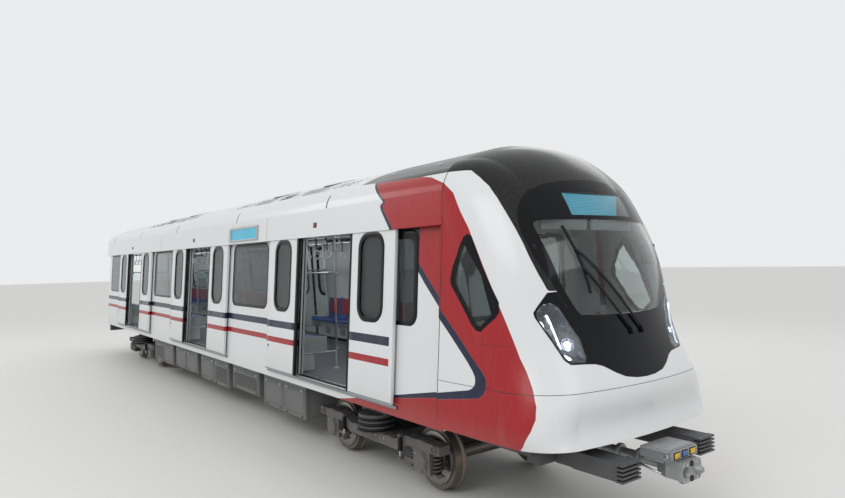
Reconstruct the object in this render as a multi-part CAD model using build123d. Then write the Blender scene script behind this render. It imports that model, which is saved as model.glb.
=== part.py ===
from build123d import *
import math
import os

# End car of a light metro train, with the cab at +X.
# Millimetres. X runs along the car, Y across it (+Y is the left side), Z is up.
# The origin is the middle of the car's bounding box, at the bottom of the wheel flanges.

os.makedirs("parts", exist_ok=True)

# Overall stations
end_reach = 9350.0          # coupler face at +X, drawbar end at -X
rear_x = 500.0 - end_reach      # rear end of the body
seam_x = end_reach - 1880.0     # joint between the ring and the cab module
ring_w = 30.0
body_x1 = seam_x - ring_w       # front end of the saloon body, behind the ring
body_len = body_x1 - rear_x
cut_x = end_reach + 100.0   # limits for cutting bodies, clear of the whole car
cut_y = 1700.0
cut_z = 4200.0
seat_gap = 0.3              # gap left between pieces that are bedded on each other
lining_gap = 0.6            # gap between pieces fitted inside the cab shell and its inner face
run_gap = 6.0               # least gap round anything that moves
fit_gap = 0.5               # radial gap in pivots and axle boxes

# Body section
skin_half = 1300.0          # half width of the side skin at the reference height
skin_ref_z = 1030.0
lean = 0.0615               # inward lean of the sides, per unit of height
wall_t = 60.0
wall_z0 = 900.0
wall_z1 = 3300.0
roof_edge_y = 1050.0
roof_edge_z = 3560.0
roof_crown_z = 3838.0
roof_t = 50.0
cove_bulge = 46.0
unit_half = 1040.0
floor_top = 1040.0
floor_t = 100.0

# Doors
door_pitch = body_len * 0.3192
door_mid = rear_x + body_len * 0.5267
door_xs = [door_mid - door_pitch, door_mid, door_mid + door_pitch]
door_clear = 1420.0         # clear width with both leaves open
jamb_extra = 20.0           # wall opening beyond the clear width, each side
doorway_z1 = 2950.0
leaf_w = 980.0
leaf_z0 = 1030.0
leaf_z1 = 3150.0
leaf_in = 30.0              # leaf faces, measured out from the skin
leaf_out = 70.0
leaf_meet = 3.0             # half gap between the two shut leaves
leaf_travel = door_clear / 2 - leaf_meet
rubber_w = 42.0
rubber_cut = 160.0          # rubber stops this far below the top of the leaf
leaf_glass_w = 560.0
leaf_glass_h = 1030.0
leaf_glass_z = (leaf_z0 + 870.0, leaf_z0 + 870.0 + leaf_glass_h)
leaf_glass_r = 190.0
glass_t = 14.0
glass_back = 8.0            # leaf glass lies this far behind the leaf's face
hanger_h = 32.0
track_h = 38.0
track_z = (leaf_z1 - hanger_h - track_h, leaf_z1 - hanger_h)
track_out = 22.0
track_half = door_clear / 2 + leaf_w + 40.0
guide_h = 33.0
guide_z = (leaf_z0 - 12.0 - guide_h, leaf_z0 - 12.0)
guide_out = 23.0
hanger_w = 120.0
hanger_off = 300.0
hanger_in = 6.0

# Cantrail cover
cover_z0 = 2950.0
cover_z1 = wall_z1 - seat_gap
cover_out = 86.0
cover_t = 10.0
flange_t = 16.0

# Side windows: centre x, width
window_w = 1500.0
window_rows = [
    ((door_xs[1] + door_xs[2]) / 2 - 30.0, window_w),
    ((door_xs[0] + door_xs[1]) / 2 - 30.0, window_w),
    (rear_x + 960.0, 1380.0),
    (body_x1 - 815.0, 690.0),
]
window_h = 1040.0
window_z = (leaf_glass_z[0] - 5.0, leaf_glass_z[0] - 5.0 + window_h)
window_r = 140.0
pane_t = 24.0

# Running gear
rail_top = 28.0             # flange depth: the rail top above the origin
wheel_r = 350.0
flange_r = wheel_r + rail_top
tread_w = 105.0
flange_w = 30.0
back_half = 680.0           # half the distance between wheel backs
axle_r = 80.0
hub_r = 130.0
journal_r = 65.0
axle_z = flange_r
bogie_xs = [rear_x + 2950.0, body_x1 - 1740.0]
wheelbase = 2000.0
wheel_out = back_half + flange_w + tread_w      # outer face of the wheels
frame_w = 150.0
frame_half = wheel_out + 70.0 + frame_w / 2     # centre of the bogie side beams
frame_over = 330.0          # side beams beyond the axles
pivot_r = 110.0
bolster_z0 = 740.0
coupler_z = 700.0
unit_floor = 3400.0
roof_unit_rows = [
    (door_xs[1] + 1220.0, door_xs[2] + 520.0),
    (door_xs[0] + 170.0, door_xs[1] - 830.0),
]


def skin_y(z, off=0.0):
    """Half width of the side skin at a height, moved out by off."""
    return skin_half - (z - skin_ref_z) * lean + off


def slab(x0, x1, z0, z1, off_in, off_out, side):
    """Leaning slab that follows the side skin; side is +1 for left and -1 for right."""
    pts = [
        (side * skin_y(z0, off_in), z0),
        (side * skin_y(z0, off_out), z0),
        (side * skin_y(z1, off_out), z1),
        (side * skin_y(z1, off_in), z1),
    ]
    return prism_yz(pts, x0, x1)


def prism_yz(pts, x0, x1):
    """Closed outline in Y and Z, drawn out along X."""
    wire = Polyline([(x0, y, z) for y, z in pts], close=True)
    return extrude_face(make_face(wire), (x1 - x0, 0, 0))


def prism_xz(pts, y0, y1):
    """Closed outline in X and Z, drawn out along Y."""
    wire = Polyline([(x, y0, z) for x, z in pts], close=True)
    return extrude_face(make_face(wire), (0, y1 - y0, 0))


def extrude_face(face, vec):
    v = Vector(*vec)
    return extrude(face, amount=v.length, dir=v.normalized())


def round_rect_y(xc, w, z0, z1, r, y0, y1):
    """Rounded rectangle in X and Z, drawn out along Y."""
    plane = Plane(origin=(xc, y0, (z0 + z1) / 2), x_dir=(1, 0, 0), z_dir=(0, 1 if y1 > y0 else -1, 0))
    return extrude(plane * RectangleRounded(w, z1 - z0, r), amount=abs(y1 - y0))


def box(x0, x1, y0, y1, z0, z1):
    return Pos((x0 + x1) / 2, (y0 + y1) / 2, (z0 + z1) / 2) * Box(x1 - x0, y1 - y0, z1 - z0)


def rod(p, q, r):
    """Round bar between two points."""
    a = Vector(*p)
    b = Vector(*q)
    d = b - a
    bar = Cylinder(r, d.length, align=(Align.CENTER, Align.CENTER, Align.MIN))
    return Plane(origin=a, z_dir=d.normalized()) * bar


def save(name, solids):
    flat = []
    for s in solids if isinstance(solids, list) else [solids]:
        flat.extend(s.solids())
    part = flat[0] if len(flat) == 1 else Compound(children=flat)
    export_step(part, "parts/" + name + ".step")
    volume = sum(s.volume for s in flat) / 1e9
    print(name, len(flat), "volume", round(volume, 4), all(s.is_valid for s in flat))


# Side walls and panes
def side_wall(side):
    wall = slab(rear_x, body_x1, wall_z0, wall_z1, -wall_t, 0.0, side)
    for x in door_xs:
        half = door_clear / 2 + jamb_extra
        wall -= box(x - half, x + half, min(0, side * cut_y), max(0, side * cut_y), floor_top, doorway_z1)
    for xc, w in window_rows:
        wall -= round_rect_y(xc, w, window_z[0], window_z[1], window_r, side * roof_edge_y / 2, side * cut_y)
    return wall


def side_panes(side):
    panes = []
    for xc, w in window_rows:
        sheet = slab(xc - w, xc + w, window_z[0] - 50, window_z[1] + 50, -pane_t, 0.0, side)
        low = window_z[0] + seat_gap
        high = window_z[1] - seat_gap
        cut = round_rect_y(xc, w - 2 * seat_gap, low, high, window_r, side * roof_edge_y / 2, side * cut_y)
        panes.append(sheet & cut)
    return panes


# Roof, covers, floor
def roof_face(inset, x):
    y0 = skin_y(wall_z1, cover_out) - inset
    z0 = wall_z1
    y1 = roof_edge_y - inset * 0.6
    z1 = roof_edge_z - inset * 0.8
    top = roof_crown_z - inset
    n = Vector(0, z1 - z0, y0 - y1).normalized()
    m = Vector(0, (y0 + y1) / 2, (z0 + z1) / 2) + n * cove_bulge
    edges = [
        ThreePointArc((x, y0, z0), (x, m.Y, m.Z), (x, y1, z1)),
        ThreePointArc((x, y1, z1), (x, 0, top), (x, -y1, z1)),
        ThreePointArc((x, -y1, z1), (x, -m.Y, m.Z), (x, -y0, z0)),
        Line((x, -y0, z0), (x, y0, z0)),
    ]
    return make_face(edges)


def roof_shell():
    """Roof skin, with a well for each equipment unit."""
    run = (body_x1 - rear_x, 0, 0)
    outer = extrude_face(roof_face(0.0, rear_x), run)
    shell = outer - extrude_face(roof_face(cover_out + roof_t, rear_x), run)
    for x0, x1 in roof_unit_rows:
        shell -= box(x0, x1, -unit_half, unit_half, unit_floor - 50, cut_z)
    return shell


def cantrail_cover(side):
    low = cover_z1 - flange_t
    pts = [
        (side * skin_y(cover_z0, cover_out - cover_t), cover_z0),
        (side * skin_y(cover_z0, cover_out), cover_z0),
        (side * skin_y(cover_z1, cover_out), cover_z1),
        (side * skin_y(cover_z1, seat_gap), cover_z1),
        (side * skin_y(low, seat_gap), low),
        (side * skin_y(low, cover_out - cover_t), low),
    ]
    return prism_yz(pts, rear_x, body_x1)


def door_tracks(side):
    bars = []
    for x in door_xs:
        bars.append(slab(x - track_half, x + track_half, track_z[0], track_z[1], seat_gap, track_out, side))
        bars.append(slab(x - track_half, x + track_half, guide_z[0], guide_z[1], seat_gap, guide_out, side))
    return bars


sill_y = 930.0
sill_w = 160.0
sill_h = 140.0
sill_z0 = floor_top - floor_t - sill_h
end_beam_z0 = sill_z0 - 100.0
floor_half = skin_y(floor_top) - wall_t - seat_gap
cab_floor_x = end_reach - 1000.0
cab_floor_half = 900.0
pin_z0 = 430.0
bolster_half = 260.0        # along the car
bolster_y = 1000.0
end_beam_w = 160.0
beam_inner = 275.0
frame_top = floor_top - floor_t - seat_gap


def floor():
    """Floor deck of the saloon, carried on into the cab."""
    z0 = floor_top - floor_t
    deck = box(rear_x, seam_x - 120, -floor_half, floor_half, z0, floor_top)
    return deck + box(seam_x - 130, cab_floor_x, -cab_floor_half, cab_floor_half, z0, floor_top)


def side_sills():
    """Two long sills under the floor."""
    sills = []
    for s in (-1, 1):
        y0, y1 = sorted((s * (sill_y - sill_w / 2), s * (sill_y + sill_w / 2)))
        sills.append(box(rear_x, cab_floor_x, y0, y1, sill_z0, frame_top))
    return sills


def under_sills(body):
    """Cross piece notched for the sills that rest in it."""
    for s in (-1, 1):
        y0, y1 = sorted((s * (sill_y - sill_w / 2 - seat_gap), s * (sill_y + sill_w / 2 + seat_gap)))
        body -= box(-cut_x, cut_x, y0, y1, sill_z0 - seat_gap, cut_z)
    return body


def bolsters():
    """Cross beams over the bogies, each with its pivot pin."""
    beams = []
    for x in bogie_xs:
        beam = box(x - bolster_half, x + bolster_half, -bolster_y, bolster_y, bolster_z0, frame_top)
        pin = Pos(x, 0, (pin_z0 + bolster_z0) / 2) * Cylinder(pivot_r - fit_gap, bolster_z0 - pin_z0)
        beams.append(under_sills(beam) + pin)
    return beams


def end_beams():
    """Cross beams at the ends of the floor, the front one in two halves beside the coupler."""
    x0 = cab_floor_x - end_beam_w
    beams = []
    for s in (-1, 1):
        y0, y1 = sorted((s * beam_inner, s * cab_floor_half))
        beams.append(under_sills(box(x0, cab_floor_x, y0, y1, end_beam_z0, frame_top)))
    rear = box(rear_x, rear_x + end_beam_w, -floor_half, floor_half, end_beam_z0, frame_top)
    return beams + [under_sills(rear)]


# Rear end
gangway_half = 650.0
gangway_z1 = 3050.0
end_wall_t = 60.0


def end_wall():
    x0 = rear_x + seat_gap
    inner_floor = floor_top + seat_gap
    inner_top = wall_z1
    pts = [
        (skin_y(inner_floor) - wall_t - seat_gap, inner_floor),
        (skin_y(inner_top) - wall_t - seat_gap, inner_top),
        (-skin_y(inner_top) + wall_t + seat_gap, inner_top),
        (-skin_y(inner_floor) + wall_t + seat_gap, inner_floor),
    ]
    wall = prism_yz(pts, x0, x0 + end_wall_t)
    arch = extrude_face(roof_face(cover_out + roof_t + seat_gap, x0), (end_wall_t, 0, 0))
    wall += arch & box(x0, x0 + end_wall_t, -cut_y, cut_y, inner_top, cut_z)
    wall -= box(x0 - 10, x0 + end_wall_t + 10, -gangway_half, gangway_half, wall_z0, gangway_z1)
    return wall


bellows_x = 20.0 - end_reach
bellows_half = 900.0
bellows_h = 2300.0
bellows_z = (gangway_z1 + 180.0 - bellows_h, gangway_z1 + 180.0)
bellows_t = 130.0


def bellows():
    zc = (bellows_z[0] + bellows_z[1]) / 2
    h = bellows_z[1] - bellows_z[0]
    plane = Plane(origin=(bellows_x, 0, zc), x_dir=(0, 1, 0), z_dir=(1, 0, 0))
    run = rear_x - seat_gap - bellows_x
    outer = extrude(plane * RectangleRounded(2 * bellows_half, h, 180), amount=run)
    clear_w = 2 * bellows_half - 2 * bellows_t
    inner = extrude(plane * RectangleRounded(clear_w, h - 2 * bellows_t, 90), amount=run)
    low = bellows_z[0] + bellows_t + seat_gap
    plate = box(bellows_x + 10, rear_x - seat_gap, -gangway_half + 20, gangway_half - 20, low, low + 20)
    return [outer - inner, plate]


# Cab module
root_x = end_reach - 2450.0
shell_t = 40.0
skirt_z = 1420.0
ring_deep = 150.0
# one row per section, the second value being how far its front lies behind the coupler face:
# root_z, front_back_x, front_z, root_half, side_back, side_half, front_back, front_half, bulge
nose_rows = [
    (960.0, 420.0, 960.0, 1414.0, 560.0, 1352.0, 60.0, 870.0, 142.0),
    (1250.0, 465.0, 1290.0, 1398.0, 600.0, 1335.0, 70.0, 855.0, 156.0),
    (1550.0, 525.0, 1600.0, 1390.0, 700.0, 1310.0, 90.0, 830.0, 128.0),
    (1900.0, 650.0, 2040.0, 1378.0, 800.0, 1285.0, 120.0, 800.0, 160.0),
    (2200.0, 690.0, 2560.0, 1372.0, 880.0, 1262.0, 150.0, 790.0, 145.0),
    (2400.0, 870.0, 3030.0, 1350.0, 900.0, 1262.0, 160.0, 780.0, 150.0),
    (2550.0, 1170.0, 3480.0, 1325.0, 850.0, 1262.0, 165.0, 800.0, 150.0),
    (2650.0, 1590.0, 3764.0, 1310.0, 700.0, 1258.0, 190.0, 870.0, 118.0),
    (2690.0, 1960.0, 3836.0, 1290.0, 560.0, 1250.0, 255.0, 1000.0, 62.0),
    (2700.0, 2400.0, 3838.0, 1284.0, 538.0, 1254.0, 278.0, 1050.0, 46.0),
]


def nose_section(row, inset):
    """Section of the cab: straight sides, corner arcs and one broad front arc, in a tilted plane."""
    rz, behind, fz, a, us, b, uc, d, bulge = row
    fx = end_reach - behind
    rx = root_x - inset
    run = math.hypot(fx - rx, fz - rz)
    ux = (fx - rx) / run
    uz = (fz - rz) / run
    side = (run - us - inset * 0.2, b - inset)
    corner = (run - uc - inset, d - inset * 0.25)
    dx = corner[0] - side[0]
    dy = corner[1] - side[1]
    size = math.hypot(dx, dy)
    mid = ((side[0] + corner[0]) / 2 - dy / size * bulge, (side[1] + corner[1]) / 2 + dx / size * bulge)

    def at(u, v):
        return (rx + u * ux, v, rz + u * uz)

    front = at(run - inset, 0)
    edges = [
        Line(at(0, -a + inset), at(0, a - inset)),
        Line(at(0, a - inset), at(side[0], side[1])),
        ThreePointArc(at(side[0], side[1]), at(mid[0], mid[1]), at(corner[0], corner[1])),
        ThreePointArc(at(corner[0], corner[1]), front, at(corner[0], -corner[1])),
        ThreePointArc(at(corner[0], -corner[1]), at(mid[0], -mid[1]), at(side[0], -side[1])),
        Line(at(side[0], -side[1]), at(0, -a + inset)),
    ]
    return make_face(edges)


def nose_loft(inset):
    """Cab body shrunk by inset; the shrunk one starts lower, so that it opens the shell at the bottom."""
    rows = list(nose_rows)
    if inset:
        low = list(rows[0])
        low[0] -= inset
        low[2] -= inset
        rows[0] = tuple(low)
        last = list(rows[-1])
        last[1] += 2 * inset
        rows[-1] = tuple(last)
    return loft([nose_section(row, inset) for row in rows])


def cab_hull():
    outer = nose_loft(0.0)
    inner = nose_loft(shell_t)
    ahead = box(seam_x + seat_gap, cut_x, -cut_y, cut_y, 0, cut_z)
    return (outer - inner) & ahead


def cab_ring():
    """Ring between the saloon body and the wider cab module; both are bedded on its faces."""
    inner = nose_loft(ring_deep)
    outer = nose_loft(0.0)
    return (outer - inner) & box(body_x1 + seat_gap, seam_x, -cut_y, cut_y, floor_top + seat_gap, cut_z)


# half outlines seen from the front, from the middle outwards: y, z
screen_half = [
    (0.0, 2050.0), (401.0, 2056.0), (640.0, 2072.0), (735.0, 2120.0), (806.0, 2240.0),
    (907.0, 2439.0), (965.0, 2622.0), (990.0, 2808.0), (984.0, 2950.0), (949.0, 3060.0),
    (882.0, 3160.0), (780.0, 3245.0), (615.0, 3307.0), (411.0, 3345.0), (0.0, 3370.0),
]
mask_half = [
    (0.0, 1472.0), (140.0, 1478.0), (290.0, 1502.0), (400.0, 1548.0), (515.0, 1612.0),
    (598.0, 1636.0), (712.0, 1645.0), (857.0, 1651.0), (900.0, 1689.0), (952.0, 1845.0),
    (1042.0, 2063.0), (1046.0, 2106.0), (1007.0, 2166.0), (918.0, 2280.0), (700.0, 2300.0),
    (0.0, 2300.0),
]
# headlamp lens seen from the front: y, z
lamp_outline = [
    (700.0, 1660.0), (845.0, 1667.5), (886.0, 1704.0), (937.0, 1850.0), (1024.0, 2061.0),
    (1027.0, 2099.0), (986.0, 2166.0), (909.0, 2190.0), (832.0, 2150.0), (752.0, 2002.0),
    (677.0, 1868.0), (670.0, 1700.0),
]
# cab side window seen from the side: distance behind the coupler face, z
window_back = [
    (1485.0, 2814.0), (1536.0, 2841.0), (1580.0, 2813.0), (1653.0, 2699.0), (1736.0, 2524.0),
    (1764.0, 2407.0), (1752.0, 2352.0), (1459.0, 1976.0), (1394.0, 1932.0), (1329.0, 1927.0),
    (1171.0, 2062.0), (1146.0, 2112.0), (1157.0, 2201.0), (1271.0, 2393.0), (1348.0, 2530.0),
]
cab_window = [(end_reach - back, z) for back, z in window_back]


def shrink(pts, d):
    """Convex outline with every side moved inward by d."""
    n = len(pts)
    area = sum(pts[k][0] * pts[(k + 1) % n][1] - pts[(k + 1) % n][0] * pts[k][1] for k in range(n))
    turn = 1 if area > 0 else -1
    lines = []
    for k in range(n):
        x0, z0 = pts[k]
        x1, z1 = pts[(k + 1) % n]
        size = math.hypot(x1 - x0, z1 - z0)
        nx = -(z1 - z0) / size * turn
        nz = (x1 - x0) / size * turn
        lines.append((nx, nz, nx * x0 + nz * z0 + d))
    out = []
    for k in range(n):
        a, b, c = lines[k - 1]
        e, f, g = lines[k]
        det = a * f - b * e
        out.append(((c * f - b * g) / det, (a * g - c * e) / det))
    return out


def whole(half):
    """Full outline from a half that starts and ends on the centre line."""
    return half + [(-y, z) for y, z in half[-2:0:-1]]


def from_front(pts):
    """Outline in Y and Z carried through the whole cab."""
    return prism_yz(pts, root_x, cut_x)


def cab_parts():
    """Cab module cut into its panels: shell, skirt, windscreen, mask, headlamps and side windows."""
    hull = cab_hull()
    screen = from_front(whole(screen_half))
    upper = hull & box(root_x, cut_x, -cut_y, cut_y, skirt_z + seat_gap, cut_z)
    skirt = hull & box(root_x, cut_x, -cut_y, cut_y, 0, skirt_z)
    ahead = box(end_reach - 1350, cut_x, -cut_y, cut_y, 0, cut_z)
    windscreen = upper & from_front(shrink(whole(screen_half), seat_gap))
    mask = (upper & ahead & from_front(shrink_front(whole(mask_half)))) - screen
    shell = upper - screen - (ahead & from_front(whole(mask_half)))
    lamps = []
    glass = []
    for s in (-1, 1):
        outline = [(s * y, z) for y, z in lamp_outline]
        lamps.append(upper & ahead & from_front(shrink(outline, seat_gap)))
        mask -= ahead & from_front(outline)
        glass.append(shell & prism_xz(shrink(cab_window, seat_gap), s * roof_edge_y / 2, s * cut_y))
        shell -= prism_xz(cab_window, s * roof_edge_y / 2, s * cut_y)
    return shell, skirt, windscreen, mask, lamps, glass


def shrink_front(pts):
    """Mask outline drawn in by the seat gap towards its middle, for an outline with hollows."""
    out = []
    for y, z in pts:
        out.append((y * (1 - seat_gap / 900), 1900 + (z - 1900) * (1 - seat_gap / 420)))
    return out


# wiper seen from the front, each point y and z: arm pivots with their far ends, and the blade
wiper_arms = [((0.0, 1892.0), (-545.0, 2480.0)), ((170.0, 1892.0), (-585.0, 2660.0))]
wiper_blade = ((-490.0, 2260.0), (-632.0, 2890.0))
blade_w = 20.0
arm_w = 22.0
boss_r = 32.0
wiper_lift = 0.4            # blade from the glass
wiper_mid = 16.0            # arm over the blade
wiper_top = 30.0


def strip(p, q, w):
    """Outline of a straight strip of width w between two points."""
    dy = q[0] - p[0]
    dz = q[1] - p[1]
    size = math.hypot(dy, dz)
    ny = -dz / size * w / 2
    nz = dy / size * w / 2
    return [(p[0] + ny, p[1] + nz), (q[0] + ny, q[1] + nz), (q[0] - ny, q[1] - nz), (p[0] - ny, p[1] - nz)]


def wiper():
    """Two arms and one blade that follow the curve of the windscreen."""
    low = nose_loft(-wiper_mid) - nose_loft(-wiper_lift)
    top = nose_loft(-wiper_top) - nose_loft(-wiper_mid)
    full = nose_loft(-wiper_top) - nose_loft(-wiper_lift)
    ahead = box(seam_x + 700, cut_x, -cut_y, cut_y, 0, cut_z)
    piece = low & ahead & from_front(strip(wiper_blade[0], wiper_blade[1], blade_w))
    for pivot, end in wiper_arms:
        piece += top & ahead & from_front(strip(pivot, end, arm_w))
        plane = Plane(origin=(seam_x + 700, pivot[0], pivot[1]), z_dir=(1, 0, 0))
        boss = plane * Cylinder(boss_r, 1100, align=(Align.CENTER, Align.CENTER, Align.MIN))
        piece += full & boss
    return piece


header_z0 = 2960.0
header_x0 = end_reach - 1185.0
header_t = 60.0
display_t = 30.0
display_half = 440.0
front_display_z = header_z0 + 50.0
display_h = 205.0
side_display_x = window_rows[0][0] - 680.0
side_display_w = 1160.0
side_display_z = cover_z0 + 45.0
display_proud = 9.0


def cab_header():
    """Dark panel that closes the top of the cab behind the windscreen."""
    across = box(header_x0, header_x0 + header_t, -cut_y, cut_y, header_z0, cut_z)
    return nose_loft(shell_t + lining_gap) & across


def displays():
    """Destination displays: one behind the windscreen and one in the cover on each side."""
    x0 = header_x0 + header_t + seat_gap
    z0 = front_display_z
    pieces = [box(x0, x0 + display_t, -display_half, display_half, z0, z0 + display_h)]
    x1 = side_display_x
    z1 = side_display_z
    for s in (-1, 1):
        pieces.append(slab(
            x1, x1 + side_display_w, z1, z1 + display_h, cover_out + seat_gap, cover_out + display_proud, s))
    return pieces


# Door leaves
def leaf(side, x0, x1, lead):
    """One leaf between x0 and x1; lead is the x of its meeting edge."""
    back = x1 if lead == x0 else x0
    step = 1 if back > lead else -1
    edge = sorted((lead, lead + step * rubber_w))
    core = sorted((lead + step * (rubber_w + seat_gap), back))
    panel = slab(core[0], core[1], leaf_z0, leaf_z1, leaf_in, leaf_out, side)
    mid = (x0 + x1) / 2
    y0 = side * roof_edge_y / 2
    y1 = side * cut_y
    panel -= round_rect_y(mid, leaf_glass_w, leaf_glass_z[0], leaf_glass_z[1], leaf_glass_r, y0, y1)
    face = leaf_out - glass_back
    pane = slab(x0, x1, leaf_z0, leaf_z1, face - glass_t, face, side)
    low = leaf_glass_z[0] + seat_gap
    high = leaf_glass_z[1] - seat_gap
    pane = pane & round_rect_y(mid, leaf_glass_w - 2 * seat_gap, low, high, leaf_glass_r, y0, y1)
    rubber = slab(edge[0], edge[1], leaf_z0, leaf_z1 - rubber_cut, leaf_in, leaf_out, side)
    for x in (mid - hanger_off, mid + hanger_off):
        near = x - hanger_w / 2
        panel += slab(near, near + hanger_w, track_z[1] + seat_gap, leaf_z1, hanger_in, leaf_in + 5, side)
    return [panel, pane, rubber]


# Running gear
def wheelset(x):
    """Wheels and axle as one piece, spun from its half section."""
    journal_end = frame_half - 10
    journal_in = frame_half - 100
    profile = [
        (-journal_end, 0.0),
        (-journal_end, journal_r),
        (-journal_in, journal_r),
        (-journal_in, axle_r + 20),
        (-wheel_out, axle_r + 20),
        (-wheel_out, hub_r),
        (-wheel_out + 30, hub_r + 20),
        (-wheel_out + 30, wheel_r - 60),
        (-wheel_out, wheel_r - 55),
        (-wheel_out, wheel_r - 5),
        (-back_half - flange_w - 12, wheel_r),
        (-back_half - flange_w + 4, flange_r - 4),
        (-back_half - 8, flange_r),
        (-back_half, flange_r - 10),
        (-back_half, wheel_r - 60),
        (-back_half - 40, wheel_r - 70),
        (-back_half - 40, hub_r + 20),
        (-back_half + 10, hub_r),
        (-back_half + 10, axle_r),
    ]
    half = profile + [(-y, r) for y, r in profile[::-1]]
    wire = Polyline([(x, y, axle_z + r) for y, r in half], close=True)
    return revolve(make_face(wire), axis=Axis((x, 0, axle_z), (0, 1, 0)), revolution_arc=360)


beam_top = 600.0            # bogie side beams over the axle boxes
beam_end_z0 = 500.0
beam_low = 400.0
beam_low_top = 520.0
spring_r = 230.0
axle_box_half = 150.0
motor_half = 300.0
motor_off = 470.0
motor_z = 440.0
motor_r = motor_off - bolster_half - seat_gap
gear_w = 120.0


def bogie(xc):
    """Frame with its air springs, axle boxes, motors and gear cases."""
    pieces = []
    frame = None
    end = wheelbase / 2 + frame_over
    for s in (-1, 1):
        y0 = s * frame_half - frame_w / 2
        y1 = s * frame_half + frame_w / 2
        pts = []
        for d in (-1, 1):
            low = [(end, beam_end_z0), (750, beam_end_z0), (520, beam_low)]
            top = [(500, beam_low_top), (700, beam_top), (end, beam_top)]
            pts.append([(xc + d * u, z) for u, z in low + top])
        outline = [pts[0][5], pts[0][4], pts[0][3], pts[1][3], pts[1][4], pts[1][5]]
        outline += [pts[1][0], pts[1][1], pts[1][2], pts[0][2], pts[0][1], pts[0][0]]
        beam = prism_xz(outline, y0, y1)
        frame = beam if frame is None else frame + beam
    frame += box(xc - bolster_half, xc + bolster_half, -frame_half, frame_half, beam_low, beam_low_top)
    frame -= Pos(xc, 0, beam_low + 60) * Cylinder(pivot_r, 400)
    pieces.append(frame)
    for s in (-1, 1):
        z0 = beam_low_top + seat_gap
        z1 = bolster_z0 - seat_gap
        pieces.append(Pos(xc, s * frame_half, (z0 + z1) / 2) * Cylinder(spring_r, z1 - z0))
        for d in (-1, 1):
            x = xc + d * wheelbase / 2
            y0 = s * frame_half - frame_w / 2 + 5
            y1 = s * frame_half + frame_w / 2 - 5
            block = box(x - axle_box_half, x + axle_box_half, y0, y1, axle_z - 130, beam_end_z0 - seat_gap)
            block -= Pos(x, s * frame_half, axle_z) * Rot(90, 0, 0) * Cylinder(journal_r + fit_gap, 400)
            pieces.append(block)
    for d in (-1, 1):
        x = xc + d * motor_off
        pieces.append(Pos(x, 0, motor_z) * Rot(90, 0, 0) * Cylinder(motor_r, 2 * motor_half))
        ax = xc + d * wheelbase / 2
        x0, x1 = sorted((ax - d * 440, ax + d * 150))
        y0, y1 = sorted((d * (motor_half + seat_gap), d * (motor_half + seat_gap + gear_w)))
        case = box(x0, x1, y0, y1, axle_z - 138, axle_z + 182)
        case -= Pos(ax, 0, axle_z) * Rot(90, 0, 0) * Cylinder(axle_r + fit_gap, 1600)
        pieces.append(case)
    return pieces


# Couplers
coupler_pivot_x = end_reach - 1020.0
coupler_eye_r = 70.0
coupler_eye_h = 130.0
coupler_pin_r = 32.0
shank_r = 52.0
cone_len = 55.0             # guide cone, ahead of the coupling face
cone_y = 90.0
cone_r = 46.0
face_x = end_reach - cone_len
face_t = 35.0
face_half = 160.0
face_h = 180.0
head_half = face_half - 18.0
head_h = face_h - 20.0
head_len = 260.0
head_back = 70.0            # half width where the head runs into the shank
plug_half = 218.0           # box of electrical contacts on top of the head
plug_h = 95.0
plug_x0 = end_reach - 420.0
plug_x1 = end_reach - 140.0
plug_lid = 22.0
jaw_half = 150.0
jaw_t = 45.0
climber_y = 600.0
climber_x = end_reach - 240.0
climber_ribs = 5
climber_z0 = 690.0


def coupler():
    """Front coupler: shank with its eye, head with cone and funnel, and the contact box on top."""
    eye = Pos(coupler_pivot_x, 0, coupler_z) * Cylinder(coupler_eye_r, coupler_eye_h)
    back = face_x - face_t - head_len
    shank = rod((coupler_pivot_x + shank_r, 0, coupler_z), (back + shank_r, 0, coupler_z), shank_r)
    plan = [
        (back, -head_back), (back + head_len / 2, -head_half), (face_x - face_t, -head_half),
        (face_x - face_t, head_half), (back + head_len / 2, head_half), (back, head_back),
    ]
    low = coupler_z + face_h / 2 - head_h
    wire = Polyline([(x, y, low) for x, y in plan], close=True)
    head = extrude_face(make_face(wire), (0, 0, head_h))
    plate = box(face_x - face_t, face_x, -face_half, face_half, coupler_z - face_h / 2, coupler_z + face_h / 2)
    plate = chamfer(plate.edges().filter_by(Axis.X), 28)
    on_base = (Align.CENTER, Align.CENTER, Align.MIN)
    ahead = Plane(origin=(face_x, cone_y, coupler_z), z_dir=(1, 0, 0))
    cone = ahead * Cone(cone_r, cone_r / 2, cone_len, align=on_base)
    inward = Plane(origin=(face_x, -cone_y, coupler_z), z_dir=(-1, 0, 0))
    funnel = inward * Cone(cone_r + 4, cone_r / 2 + 4, cone_len + 10, align=on_base)
    bore = Pos(coupler_pivot_x, 0, coupler_z) * Cylinder(coupler_pin_r + fit_gap, 2 * coupler_eye_h)
    body = eye + shank + head + plate + cone - funnel - bore
    z0 = coupler_z + face_h / 2 + seat_gap
    case = box(plug_x0, plug_x1, -plug_half, plug_half, z0, z0 + plug_h)
    case = fillet(case.edges().filter_by(Axis.X), 16)
    lid = box(plug_x1, plug_x1 + plug_lid, 14 - plug_half, plug_half - 14, z0 + 8, z0 + plug_h - 8)
    return [body, case + lid]


def coupler_mount():
    """Fixed jaw that holds the coupler's pivot, under the cab floor."""
    x0 = coupler_pivot_x - 210
    x1 = coupler_pivot_x + 110
    half = coupler_eye_h / 2
    low = coupler_z - half - run_gap - jaw_t
    jaw = box(x0, x1, -jaw_half, jaw_half, coupler_z + half + run_gap, frame_top)
    jaw += box(x0, x1, -jaw_half, jaw_half, low, coupler_z - half - seat_gap)
    jaw += box(x0, x0 + 60, -jaw_half, jaw_half, low, frame_top)
    jaw += Pos(coupler_pivot_x, 0, coupler_z) * Cylinder(coupler_pin_r, 2 * coupler_eye_h)
    return jaw


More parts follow.
